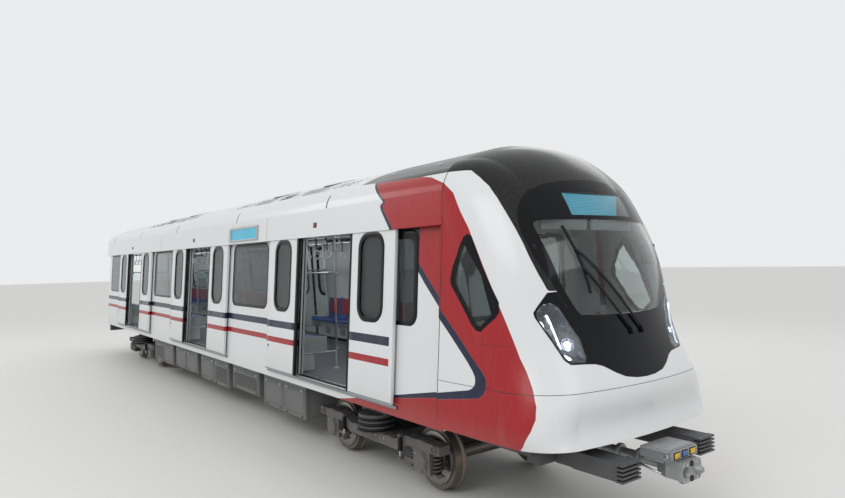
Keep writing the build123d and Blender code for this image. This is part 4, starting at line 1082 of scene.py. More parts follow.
def make_roof_work():
    work = Piece("roof_work")
    for side in (-1, 1):
        for x in (5.030, 1.830, -1.700, -4.880, -8.060):
            work.add(strip_of("roof_shell", (0, side, 0.5), x - 0.012, x + 0.012, 0.0012, 3.304, 3.470), black_trim)
        for node_x0, node_x1 in ((-5.296, -1.104), (0.954, 5.445)):
            # dark strip along the units' lower edge: painted shade in the groove there
            y0, y1 = span(side, 1.0405, 1.048)
            work.add(block((node_x0, y0, 3.470), (node_x1, y1, 3.545)), black_trim)
            run = node_x1 - node_x0
            for k in range(1, 5):
                x = node_x0 + run * k / 5
                work.add(strip_of("roof_units", (0, side * 0.3, 1), x - 0.004, x + 0.004, 0.0010, from_y=0.16,
                                  side=side),
                         black_trim)
            for k in range(5):
                x = node_x0 + run * (k + 0.5) / 5
                place = on_roof(x, 0.905, side)
                if k in (1, 3):
                    # dark plate behind the louvre slats: painted shade of the openings
                    work.add(plate(four(-0.300, 0.300, -0.085, 0.085), -0.003, 0.0015, 0.020), black_trim, place)
                    work.add(window_ring((-0.310, 0.310, -0.095, 0.095, 0.028),
                                         (-0.290, 0.290, -0.075, 0.075, 0.014), -0.002, 0.006, 0.002), roof_trim,
                             place)
                    for j in range(14):
                        u = -0.270 + 0.0415 * j
                        work.add(block((u - 0.011, -0.001, -0.072), (u + 0.011, 0.005, 0.072), 0.002), roof_trim,
                                 place)
                elif k == 2:
                    work.add(window_ring((-0.230, 0.230, -0.095, 0.095, 0.020),
                                         (-0.222, 0.222, -0.087, 0.087, 0.014), -0.002, 0.002, 0.0), roof_trim,
                             place)
                    # dark discs of the perforated patch: painted shade in the holes
                    for i in range(13):
                        for j in range(5):
                            spot = (-0.192 + 0.032 * i, 0, -0.064 + 0.032 * j)
                            work.add(rod((spot[0], -0.002, spot[2]), (spot[0], 0.0012, spot[2]), 0.010, sides=8),
                                     black_trim, place)
                else:
                    # slanted slots as dark plates: painted shade in the openings
                    for j in range(3):
                        u = -0.190 + 0.190 * j
                        slot = ((u - 0.075, -0.080), (u - 0.045, -0.080), (u + 0.075, 0.080), (u + 0.045, 0.080))
                        work.add(plate(slot, -0.003, 0.0012, 0.008, steps=3), black_trim, place)
                for u in (-0.400, 0.400):
                    for v in (-0.080, 0.080):
                        work.add(rod((u, -0.002, v), (u, 0.003, v), 0.009, sides=10), steel_tube, place)
            for k in (1, 3):
                x = node_x0 + run * (k + 0.5) / 5
                place = on_roof(x, 0.520, side)
                turn = place @ Matrix.Rotation(-math.pi / 2, 4, "X")
                for radius in (0.240, 0.185, 0.130, 0.075):
                    ring = turned([(radius, 0.0), (radius, 0.006), (radius - 0.008, 0.0075), (radius - 0.012, 0.0),
                                   (radius, 0.0)], (0, 0, 0), (0, 0, 1), 32)
                    work.add(ring, roof_trim, turn)
                # dark disc under the guard rings: painted shade of the fan opening
                work.add(turned([(0.0, -0.004), (0.232, -0.004), (0.232, 0.0015), (0.0, 0.0015)], (0, 0, 0),
                                (0, 0, 1), 32),
                         black_trim, turn)
                work.add(turned([(0.0, 0.0), (0.055, 0.0), (0.050, 0.010), (0.0, 0.011)], (0, 0, 0), (0, 0, 1), 20),
                         roof_trim, turn)
                for j in range(8):
                    swing = turn @ Matrix.Rotation(j * math.pi / 4, 4, "Z")
                    work.add(block((0.045, -0.003, 0.001), (0.236, 0.003, 0.0055), 0.001), roof_trim, swing)
        for x in (-7.90, -6.20, 6.10, 7.00):
            place = on_roof(x, 0.900, side)
            work.add(plate(four(-0.045, 0.045, -0.030, 0.030), -0.004, 0.004, 0.012, 0.002), roof_trim, place)
            work.add(rod((0, 0, 0), (0, 0.014, 0), 0.014, sides=14, edge=0.003), steel_tube, place)
    work.done("car", "body_white")


make_roof_work()


# Saloon: moulded seats, plinths, handles, pole flanges, diffusers, screen clamps
bench_rows = ((-8.700, -6.360), (-4.580, -1.160), (0.620, 4.040))
seat_top = 1.500
pole_y = 0.620
rail_z = 2.950
pole_off = 0.832
seat_pitch = 0.485
strap_pitch = 0.340


def wall_in(z):
    return skin_half - (z - skin_ref_z) * lean_rate - wall_t


def seat_shell(width, lift=0.0, first=0, last=99, inset=0.0):
    """A moulded seat: its side line drawn along X, raised at both edges, then given a wall."""
    line = [(0.452, 1.440), (0.456, 1.478), (0.440, 1.497), (0.360, 1.490), (0.220, 1.472), (0.120, 1.470),
            (0.070, 1.492), (0.050, 1.560), (0.040, 1.680), (0.030, 1.800), (0.026, 1.862), (0.012, 1.878)]
    line = line[first:last]
    bm = bmesh.new()
    low = wall_in(seat_top)
    spots = [bm.verts.new((0, low - out, z)) for out, z in line]
    loop = [bm.edges.new(pair) for pair in zip(spots, spots[1:])]
    columns = (0.0, 0.018, 0.060, 0.160, 0.300, 0.400, 0.442, 0.460)
    half = width / 2 - inset
    xs = [(c / 0.460 - 0.5) * 2 * half for c in columns]
    bmesh.ops.translate(bm, vec=(xs[0], 0, 0), verts=bm.verts)
    for a, b in zip(xs, xs[1:]):
        out = bmesh.ops.extrude_edge_only(bm, edges=loop)
        loop = edges_of(out)
        bmesh.ops.translate(bm, vec=(b - a, 0, 0), verts=verts_of(out))
    bmesh.ops.recalc_face_normals(bm, faces=bm.faces[:])
    if sum(f.normal.z for f in bm.faces) < 0:
        bmesh.ops.reverse_faces(bm, faces=bm.faces[:])
    bm.normal_update()
    for v in bm.verts:
        edge = abs(v.co.x) / half
        rise = 0.016 * max(0.0, edge - 0.55) / 0.45 if not inset else 0.006 * (1 - edge ** 4)
        v.co += v.normal * (rise + lift)
    bmesh.ops.subdivide_edges(bm, edges=bm.edges[:], cuts=1, use_grid_fill=True, smooth=0.6)
    bmesh.ops.solidify(bm, geom=bm.faces[:], thickness=0.014)
    return bm


def make_benches():
    rows = Piece("saloon_seats")
    bases = Piece("seat_plinths")
    for side in (-1, 1):
        for x0, x1 in bench_rows:
            count = round((x1 - x0) / seat_pitch)
            pitch = (x1 - x0) / count
            for k in range(count):
                place = to_side(side, x0 + pitch * (k + 0.5))
                rows.add(seat_shell(pitch - 0.012), blue_seat, place)
                rows.add(seat_shell(pitch - 0.012, 0.011, 7, 11, 0.055), red_seat, place)
                for px in (-0.17, 0.17):
                    bases.add(block((px - 0.015, wall_in(1.44) - 0.420, 1.395),
                                    (px + 0.015, wall_in(1.44) - 0.040, 1.462), 0.004), steel_tube, place)
            flip = to_side(side)
            foot = wall_in(1.10)
            bases.add(block((x0 + 0.03, foot - 0.300, floor_top), (x1 - 0.03, foot - 0.014, 1.400), 0.012),
                      grey_lining, flip)
            bases.add(block((x0 + 0.05, foot - 0.306, 1.060), (x1 - 0.05, foot - 0.298, 1.120), 0.003), black_trim,
                      flip)
            for k in range(int((x1 - x0) / 0.6)):
                x = x0 + 0.25 + 0.6 * k
                for j in range(6):
                    bases.add(block((x, foot - 0.304, 1.180 + 0.024 * j),
                                    (x + 0.180, foot - 0.299, 1.190 + 0.024 * j)),
                              black_trim, flip)
            for x in (x0, x1):
                bases.add(block((x - 0.012, wall_in(1.5) - 0.462, 1.300), (x + 0.012, wall_in(1.5) - 0.010, 1.520),
                                0.006),
                          grey_lining, flip)
            bases.add(bent_tube([(x0 + 0.02, foot - 0.42, 1.405), ((x0 + x1) / 2, foot - 0.42, 1.405),
                                 (x1 - 0.02, foot - 0.42, 1.405)], 0.016), steel_tube, flip)
    rows.done("car", "seat", "benches", sharp=60)
    bases.done("car", "lining")


def make_handles():
    work = Piece("saloon_handles")
    for side in (-1, 1):
        y = side * pole_y
        for door_x in door_xs:
            for d in (-1, 1):
                x = door_x + d * pole_off
                for z, aim in ((1.041, 1), (3.179, -1)):
                    work.add(turned([(0.0, 0.0), (0.045, 0.0), (0.045, 0.006), (0.026, 0.012), (0.022, 0.030),
                                     (0.0, 0.030)],
                                    (x, y, z), (0, 0, aim), 24), steel_tube)
                for z in (1.330, 2.420):
                    x0, x1 = sorted((x - d * 0.052, x + d * 0.020))
                    work.add(block((x0, y - 0.024, z - 0.020), (x1, y + 0.024, z + 0.020), 0.005), steel_tube)
                work.add(turned([(0.020, -0.026), (0.026, -0.020), (0.026, 0.020), (0.020, 0.026), (0.0, 0.026),
                                 (0.0, -0.026)],
                                (x, y, rail_z), (1, 0, 0), 20), steel_tube)
        for x0, x1 in bench_rows:
            count = int((x1 - x0) / strap_pitch)
            for k in range(count):
                x = x0 + (k + 0.5) * (x1 - x0) / count
                work.add(block((x - 0.016, y - 0.021, rail_z - 0.022), (x + 0.016, y + 0.021, rail_z + 0.021),
                               0.006), black_trim)
                work.add(block((x - 0.011, y - 0.004, rail_z - 0.170), (x + 0.011, y + 0.004, rail_z - 0.015),
                               0.002), black_trim)
                grip = turned([(0.052, -0.009), (0.061, -0.006), (0.064, 0.0), (0.061, 0.006), (0.052, 0.009),
                               (0.049, 0.0), (0.052, -0.009)], (x, y, rail_z - 0.228), (1, 0, 0), 20)
                work.add(grip, handle_grey)
                work.add(block((x - 0.010, y - 0.030, rail_z - 0.182), (x + 0.010, y + 0.030, rail_z - 0.160),
                               0.006), handle_grey)
        for k in range(9):
            x = -8.20 + 1.85 * k
            work.add(rod((x, y, rail_z + 0.010), (x, y, 3.179), 0.010, sides=12), steel_tube)
            work.add(turned([(0.0, 0.0), (0.034, 0.0), (0.030, 0.010), (0.012, 0.014), (0.0, 0.014)],
                            (x, y, ceiling_under), (0, 0, -1), 20), steel_tube)
    work.done("car", "steel")


def make_ceiling_work():
    work = Piece("ceiling_work")
    for x0, x1 in ((-8.60, -5.00), (-4.96, -1.36), (-1.32, 2.28), (2.32, 6.90)):
        work.add(block((x0, -0.170, 3.166), (x1, 0.170, ceiling_under), 0.005), grey_lining)
        for y in (-0.110, -0.045, 0.045, 0.110):
            work.add(block((x0 + 0.05, y - 0.012, 3.1635), (x1 - 0.05, y + 0.012, 3.1685), 0.001), black_trim)
    for side in (-1, 1):
        for y0, y1 in ((0.372, 0.380), (0.480, 0.488)):
            a, b = span(side, y0, y1)
            work.add(block((-8.62, a, 3.154), (6.92, b, ceiling_under), 0.002), jamb_paint)
        for k in range(8):
            x = -7.70 + 2.00 * k
            a, b = span(side, 0.376, 0.484)
            work.add(block((x - 0.010, a, 3.1545), (x + 0.010, b, 3.1640), 0.002), jamb_paint)
        for x0, x1 in bench_rows:
            w = wall_in(3.04)
            a, b = span(side, (w - 0.030), (w - 0.002))
            work.add(block((x0 - 0.10, a, 2.985), (x1 + 0.10, b, 3.150), 0.010), warm_lining)
            a, b = span(side, (w - 0.033), (w - 0.028))
            for k in range(int((x1 - x0) / 0.55)):
                work.add(block((x0 + 0.08 + 0.55 * k, a, 3.010), (x0 + 0.55 + 0.55 * k, b, 3.125), 0.002),
                         header_black)
    for x in (-6.9, -3.0, 0.9, 4.8):
        work.add(turned([(0.0, 0.0), (0.060, 0.0), (0.056, 0.012), (0.030, 0.030), (0.0, 0.036)], (x, 0.0, 3.166),
                        (0, 0, -1), 28),
                 black_gloss)
    work.done("car", "lining")


def make_screen_work():
    work = Piece("screen_clamps")
    for side in (-1, 1):
        for door_x in door_xs:
            for d in (-1, 1):
                x = door_x + d * 0.800
                for z in (1.330, 2.420):
                    y = wall_in(z)
                    a, b = span(side, (y - 0.055), (y - 0.001))
                    work.add(block((x - 0.016, a, z - 0.022), (x + 0.016, b, z + 0.022), 0.005), steel_tube)
                foot = wall_in(1.306) - 0.010
                work.add(rod((x, side * 0.646, 1.302), (x, side * foot, 1.302), 0.011, sides=12), steel_tube)
                work.add(rod((x, side * 0.646, 2.450), (x, side * (wall_in(2.45) - 0.004), 2.450), 0.011, sides=12),
                         steel_tube)
    work.done("car", "steel")


make_benches()
make_handles()
make_ceiling_work()
make_screen_work()


# Driver's seat: crowned cushions on a column
def cushion(lo, hi, crown, pull, seams=()):
    """A pad whose faces swell, whose sides pull in between corners and whose channels sink."""
    bm = block(lo, hi)
    bmesh.ops.subdivide_edges(bm, edges=bm.edges[:], cuts=11, use_grid_fill=True)
    mid = [(a + b) / 2 for a, b in zip(lo, hi)]
    half = [(b - a) / 2 for a, b in zip(lo, hi)]
    thin = half.index(min(half))
    wide = [k for k in range(3) if k != thin]
    for v in bm.verts:
        u = [(v.co[k] - mid[k]) / half[k] for k in range(3)]
        a, b = u[wide[0]], u[wide[1]]
        dome = (1 - abs(a) ** 2.6) * (1 - abs(b) ** 2.6)
        v.co[thin] = mid[thin] + u[thin] * half[thin] * (0.46 + 0.54 * min(1.0,
                                                                           dome * 1.6)) + u[thin] * crown * dome
        v.co[wide[0]] -= a * pull * (1 - b * b) * (abs(a) > 0.85)
        v.co[wide[1]] -= b * pull * (1 - a * a) * (abs(b) > 0.85)
        for axis, at, width, deep in seams:
            gap = abs(v.co[axis] - at)
            if gap < width and u[thin] > 0.5:
                v.co[thin] -= deep * (1 - gap / width)
    bmesh.ops.smooth_vert(bm, verts=bm.verts[:], factor=0.35, use_axis_x=True, use_axis_y=True, use_axis_z=True)
    bmesh.ops.recalc_face_normals(bm, faces=bm.faces[:])
    return bm


def make_driver_seat():
    frame_work = Piece("driver_seat_frame")
    frame_work.add(turned([(0.0, 0.0), (0.190, 0.0), (0.190, 0.014), (0.120, 0.030), (0.066, 0.050), (0.060, 0.070),
                           (0.060, 0.230), (0.050, 0.236), (0.050, 0.395), (0.0, 0.395)], (7.570, 0, floor_top),
                          (0, 0, 1), 40), black_trim)
    for k in range(5):
        z = 1.290 + 0.026 * k
        frame_work.add(turned([(0.050, -0.010), (0.070, 0.0), (0.050, 0.010), (0.048, 0.0), (0.050, -0.010)],
                              (7.570, 0, z), (0, 0, 1), 32), rubber)
    frame_work.add(block((7.385, -0.190, 1.425), (7.765, 0.190, 1.462), 0.012), black_trim)
    frame_work.add(block((7.330, -0.200, 1.560), (7.356, 0.200, 2.120), 0.010), black_trim)
    for side in (-1, 1):
        frame_work.add(bent_tube([(7.350, side * 0.215, 1.720), (7.420, side * 0.222, 1.735),
                                  (7.560, side * 0.222, 1.735), (7.650, side * 0.222, 1.725)], 0.018), black_trim)
        frame_work.add(block((7.480, side * 0.205 - 0.010, 1.440), (7.560, side * 0.205 + 0.010, 1.475), 0.004),
                       steel_tube)
    frame_work.add(bent_tube([(7.700, -0.200, 1.440), (7.745, -0.225, 1.440), (7.770, -0.228, 1.450)], 0.007),
                   steel_tube)
    frame_work.done("car", "desk", "driver_seat")
    # each channel: the axis that it is placed along, where, its half width and its depth
    channels = ((1, -0.120, 0.012, 0.008), (1, 0.120, 0.012, 0.008))
    for name, lo, hi, seams, fill in (
        ("driver_seat_cushion", (7.375, -0.222, 1.462), (7.795, 0.222, 1.545), channels, 0.7),
        ("driver_seat_back", (7.352, -0.215, 1.585), (7.432, 0.215, 1.985), channels, 0.7),
        ("driver_seat_headrest", (7.350, -0.130, 2.010), (7.410, 0.130, 2.145), (), 0.7),
    ):
        pad = Piece(name)
        pad.add(cushion(lo, hi, 0.010, 0.008, seams), seat_cloth)
        obj = pad.done("car", "seat", sharp=75)


make_driver_seat()


# Cab: desk screens, levers and buttons, visors, pillar screens, bulkhead door and windows
def make_cab_work():
    work = Piece("cab_work")
    lean = Matrix.Rotation(math.radians(-24), 4, "Y")
    tilt = Matrix.Translation((8.230, 0, 1.925)) @ lean
    for y in (-0.430, 0.0, 0.430):
        local = tilt @ Matrix.Translation((0, y, 0))
        work.add(block((-0.130, -0.185, -0.030), (0.110, 0.185, 0.022), 0.012, 3), desk_grain, local)
        work.add(block((-0.105, -0.150, 0.018), (0.088, 0.150, 0.0245), 0.003), screen_black, local)
        work.add(block((-0.095, -0.140, 0.022), (0.078, 0.140, 0.0255), 0.001), panel_glow, local)
    for y in (-0.215, 0.215):
        local = tilt @ Matrix.Translation((-0.03, y, -0.012))
        work.add(turned([(0.0, 0.0), (0.042, 0.0), (0.042, 0.010), (0.018, 0.016), (0.012, 0.080), (0.022, 0.092),
                         (0.024, 0.110), (0.014, 0.124), (0.0, 0.126)], (0, 0, 0), (0, 0, 1), 24), black_trim,
                 local)
    for i in range(6):
        for j, tone in ((0, lens_dim), (1, red_seat if i == 5 else jamb_paint)):
            for side in (-1, 1):
                x, y = 8.150 + 0.035 * j, side * (0.680 + 0.055 * i)
                place = Matrix.Translation((x, y, 1.872 + 0.016 * j)) @ lean
                work.add(turned([(0.0, 0.0), (0.014, 0.0), (0.014, 0.012), (0.011, 0.018), (0.0, 0.019)], (0, 0, 0),
                                (0, 0, 1), 16),
                         tone, place)
    work.add(block((8.090, -0.640, 1.562), (8.100, 0.640, 1.600), 0.004), steel_tube)
    # visor under the header
    for side in (-1, 1):
        a, b = span(side, 0.030, 0.700)
        work.add(block((8.236, a, 2.860), (8.246, b, 2.985), 0.004), visor_grey)
        for y in (0.060, 0.660):
            work.add(rod((8.241, side * y, 2.980), (8.200, side * y, 3.020), 0.006, sides=10), steel_tube)
    # small screen pods on the pillars
    for side in (-1, 1):
        local = Matrix.Translation((8.350, side * 0.870, 2.610)) @ Matrix.Rotation(side * math.radians(-28), 4, "Z")
        work.add(block((-0.030, -0.075, -0.110), (0.012, 0.075, 0.110), 0.012, 3), black_trim, local)
        work.add(block((-0.0335, -0.062, -0.095), (-0.028, 0.062, 0.095), 0.002), screen_black, local)
    work.done("car", "desk")

    wall = Piece("cab_wall_work")
    panes = [span(side, 0.250, 0.900) for side in (-1, 1)]
    for face, out in ((7.110, 1), (7.060, -1)):
        x0, x1 = sorted((face - out * 0.003, face + out * 0.010))
        across = to_end(1)
        for a, b in panes:
            wall.add(window_ring((a - 0.045, b + 0.045, 1.905, 2.895, 0.110),
                                 (a + 0.012, b - 0.012, 1.962, 2.838, 0.075), x0, x1, 0.003), black_trim, across)
        wall.add(window_ring((-0.235, 0.235, 1.048, 3.080, 0.030), (-0.228, 0.228, 1.055, 3.073, 0.026), x0,
                             x1 - out * 0.004, 0.0),
                 black_trim, across)
        wall.add(turned([(0.0, 0.0), (0.026, 0.0), (0.026, 0.006), (0.012, 0.010), (0.012, 0.030), (0.024, 0.036),
                         (0.024, 0.052), (0.0, 0.056)], (face, 0.180, 2.020), (out, 0, 0), 24), black_trim)
        wall.add(plate(four(-0.150, 0.150, 2.720, 2.960), x0, x1, 0.012, 0.003), jamb_paint, across)
    for (a, b), side in zip(panes, (-1, 1)):
        wall.add(block((7.079, a + 0.004, 1.954), (7.091, b - 0.004, 2.846), 0.002), screen_glass)
        a, b = span(side, 0.930, 1.130)
        wall.add(block((7.110, a, 1.080), (7.180, b, 1.850), 0.012), grey_lining)
        wall.add(block((7.178, a + 0.02, 1.480), (7.184, b - 0.02, 1.810), 0.003), jamb_paint)
    wall.done("car", "lining")


make_cab_work()


# Cab floor pans: they close the floor out to the shell, beside the deck and ahead of it
def make_cab_floor():
    pans = Piece("cab_floor_pans")
    flat = Matrix.Rotation(math.pi / 2, 4, "X")
    nose = [(8.353, 1.338), (8.498, 1.329), (8.630, 1.248), (8.722, 1.100), (8.736, 1.000), (8.724, 0.900),
            (8.712, 0.800), (8.732, 0.600), (8.747, 0.400), (8.759, 0.0)]
    far = [(x, -y) for x, y in reversed(nose[:-1])]
    pans.add(plate(nose + far, 0.972, 1.036), vinyl, flat, back=frame_paint)
    for side in (-1, 1):
        y0, y1, y2 = side * 0.903, side * 1.236, side * 1.341
        pans.add(plate([(7.475, y0), (7.475, y2), (8.000, side * 1.331), (8.353, side * 1.338), (8.353, y0)], 0.972,
                       1.036),
                 vinyl, flat, back=frame_paint)
        pans.add(plate([(7.352, y0), (7.352, y1), (7.475, y1), (7.475, y0)], 0.972, 1.036), vinyl, flat,
                 back=frame_paint)
        y0, y1 = span(side, 0.905, 0.995)
        for x in (7.62, 7.98, 8.30):
            pans.add(block((x - 0.020, y0, 0.9405), (x + 0.020, y1, 0.9725), 0.004), frame_paint)
    pans.done("car", "floor_vinyl")


make_cab_floor()


# Rear end wall: gangway trim, handrails, socket boxes, louvres and foot plates
def make_end_work():
    work = Piece("end_wall_work")
    across = to_end(-1)
    work.add(window_ring((-0.705, 0.705, 1.045, 3.105, 0.060), (-0.652, 0.652, 1.052, 3.052, 0.040), -8.792, -8.780,
                         0.004),
             warm_lining, across)
    for side in (-1, 1):
        y = side * 1.060
        work.add(bent_tube([(-8.852, y, 1.420), (-8.905, y, 1.440), (-8.912, y, 1.700), (-8.905, y, 2.180),
                            (-8.852, y, 2.200)], 0.012),
                 steel_tube)
        for z in (1.420, 2.200):
            work.add(turned([(0.0, 0.0), (0.030, 0.0), (0.028, 0.006), (0.013, 0.008), (0.0, 0.008)],
                            (-8.8495, y, z), (-1, 0, 0), 20),
                     steel_tube)
        a, b = span(side, 0.945, 1.190)
        work.add(block((-8.905, a, 1.060), (end_wall_face, b, 1.310), 0.012), box_paint)
        for k in range(3):
            z = 1.115 + 0.070 * k
            work.add(turned([(0.0, 0.0), (0.030, 0.0), (0.030, 0.012), (0.022, 0.020), (0.0, 0.020)],
                            (-8.904, side * 1.068, z), (-1, 0, 0), 20), black_trim)
        work.add(block((-8.8545, a + 0.010, 2.330), (-8.8495, b - 0.050, 2.900), 0.002), jamb_paint)
        a, b = span(side, 0.965, 1.115)
        for k in range(6):
            work.add(block((-8.858, a, 2.400 + 0.075 * k), (-8.853, b, 2.430 + 0.075 * k), 0.002), black_trim)
        a, b = span(side, 0.930, 1.200)
        work.add(block((-8.872, a, 1.016), (end_wall_face, b, 1.036), 0.004), black_trim)
    work.done("car", "lining")


make_end_work()


# Underfloor: lids, latches, vents, straps and brackets on the boxes and tanks
def solids_of(node):
    """The lowest and highest corner of each separate solid of a node."""
    bm = bmesh.new()
    bm.from_mesh(nodes[node].data)
    bmesh.ops.remove_doubles(bm, verts=bm.verts[:], dist=2e-5)
    left = set(bm.verts)
    found = []
    while left:
        line = [left.pop()]
        group = []
        while line:
            v = line.pop()
            group.append(v.co.copy())
            for e in v.link_edges:
                w = e.other_vert(v)
                if w in left:
                    left.remove(w)
                    line.append(w)
        found.append((Vector([min(c[k] for c in group) for k in range(3)]),
                      Vector([max(c[k] for c in group) for k in range(3)])))
    bm.free()
    return sorted(found, key=lambda pair: (round(pair[0].y, 2), pair[0].x))


def make_box_work():
    work = Piece("underfloor_work")
    for number, (lo, hi) in enumerate(solids_of("equipment_boxes")):
        side = -1 if lo.y < 0 else 1
        face = lo.y if side < 0 else hi.y
        out = to_side(side, y=face)
        run = hi.x - lo.x
        count = 2 if run > 1.25 else 1
        for k in range(count):
            x0 = lo.x + 0.030 + k * run / count
            x1 = lo.x + (k + 1) * run / count - 0.030
            z0, z1 = lo.z + 0.030, hi.z - 0.050
            vented = (number + k) % 3 == 0
            work.add(plate(four(x0, x1, z0, z1), -0.001, 0.007, 0.018, 0.0025), box_paint, out)
            work.add(window_ring((x0 + 0.030, x1 - 0.030, z0 + 0.028, z1 - 0.028, 0.014),
                                 (x0 + 0.036, x1 - 0.036, z0 + 0.034, z1 - 0.034, 0.010), 0.006, 0.0082, 0.0),
                     box_trim, out)
            if vented:
                for j in range(9):
                    z = z0 + 0.055 + 0.030 * j
                    if z + 0.02 < z1 - 0.04:
                        slat = block((x0 + 0.070, -0.006, -0.004), (x1 - 0.070, 0.008, 0.004), 0.001)
                        bmesh.ops.rotate(slat, cent=(0, 0, 0), matrix=Matrix.Rotation(-0.6, 3, "X"),
                                         verts=slat.verts)
                        bmesh.ops.translate(slat, vec=(0, 0.010, z), verts=slat.verts)
                        work.add(slat, box_trim, out)
            for x in (x0 + 0.090, x1 - 0.090):
                work.add(plate(four(x - 0.022, x + 0.022, z1 - 0.034, z1 - 0.004), 0.006, 0.014, 0.006, 0.002),
                         steel_tube, out)
                work.add(block((x - 0.028, 0.004, z0 - 0.012), (x + 0.028, 0.018, z0 + 0.012), 0.005), box_trim,
                         out)
        for x in (lo.x + 0.060, (lo.x + hi.x) / 2, hi.x - 0.060):
            work.add(block((x - 0.035, -0.055, hi.z - 0.010), (x + 0.035, 0.004, hi.z + 0.020), 0.004), frame_paint,
                     out)
            work.add(rod((x, -0.028, hi.z + 0.012), (x, -0.028, hi.z + 0.036), 0.012, sides=6), steel_tube, out)
        for x, d in ((lo.x, -1), (hi.x, 1)):
            z = (lo.z + hi.z) / 2
            y0, y1 = lo.y + 0.08, hi.y - 0.08
            wall = to_end(1, x, d=d)
            work.add(plate(four(y0, y1, lo.z + 0.050, hi.z - 0.060), -0.001, 0.005, 0.020, 0.002), box_paint, wall)
        for k in range(3):
            y = lo.y + (hi.y - lo.y) * (k + 0.5) / 3
            work.add(block((lo.x + 0.020, y - 0.015, lo.z - 0.010), (hi.x - 0.020, y + 0.015, lo.z + 0.004), 0.003),
                     box_trim)
    for lo, hi in solids_of("air_tanks"):
        y, z = (lo.y + hi.y) / 2, lo.z + 0.170
        for x in (lo.x + 0.26, hi.x - 0.26):
            work.add(turned([(0.1705, -0.022), (0.1755, -0.022), (0.1755, 0.022), (0.1705, 0.022),
                             (0.1705, -0.022)], (x, y, z),
                            (1, 0, 0), 36), steel_tube)
        work.add(turned([(0.0, 0.0), (0.028, 0.0), (0.028, 0.016), (0.016, 0.020), (0.016, 0.036), (0.0, 0.038)],
                        (hi.x - 0.012, y, z), (1, 0, 0), 20), steel_tube)
    for side in (-1, 1):
        a, b = span(side, 0.852, 1.008)
        for x in (-8.20, -7.30, -4.60, -0.86, 1.00, 2.42, 4.22, 7.30, 8.00):
            work.add(block((x - 0.006, a, 0.795), (x + 0.006, b, 0.812), 0.002), frame_paint)
            work.add(block((x - 0.050, a + 0.020, 0.7945), (x + 0.050, b - 0.020, 0.802), 0.003), frame_paint)
    work.done("car", "frame_grey")


make_box_work()


# Bogies and wheels: axle-box covers, coil springs, air-spring folds, dampers, brake units, discs
def coil(spot, r, wire, z0, z1, turns):
    points = []
    for k in range(turns * 10 + 1):
        a = k * math.tau / 10
        points.append((spot[0] + r * math.cos(a), spot[1] + r * math.sin(a), z0 + (z1 - z0) * k / (turns * 10)))
    return bent_tube(points, wire, 1, 2)


def ring_of_bolts(work, foot, side, count, reach, r, tall, start=0.0):
    """Bolt heads in a circle round the axle line, standing out to one side from foot, an x and a y."""
    for k in range(count):
        a = k * math.tau / count + start
        x, y, z = foot[0] + reach * math.cos(a), foot[1], axle_z + reach * math.sin(a)
        work.add(rod((x, y, z), (x, y + side * tall, z), r, sides=6), steel_tube)


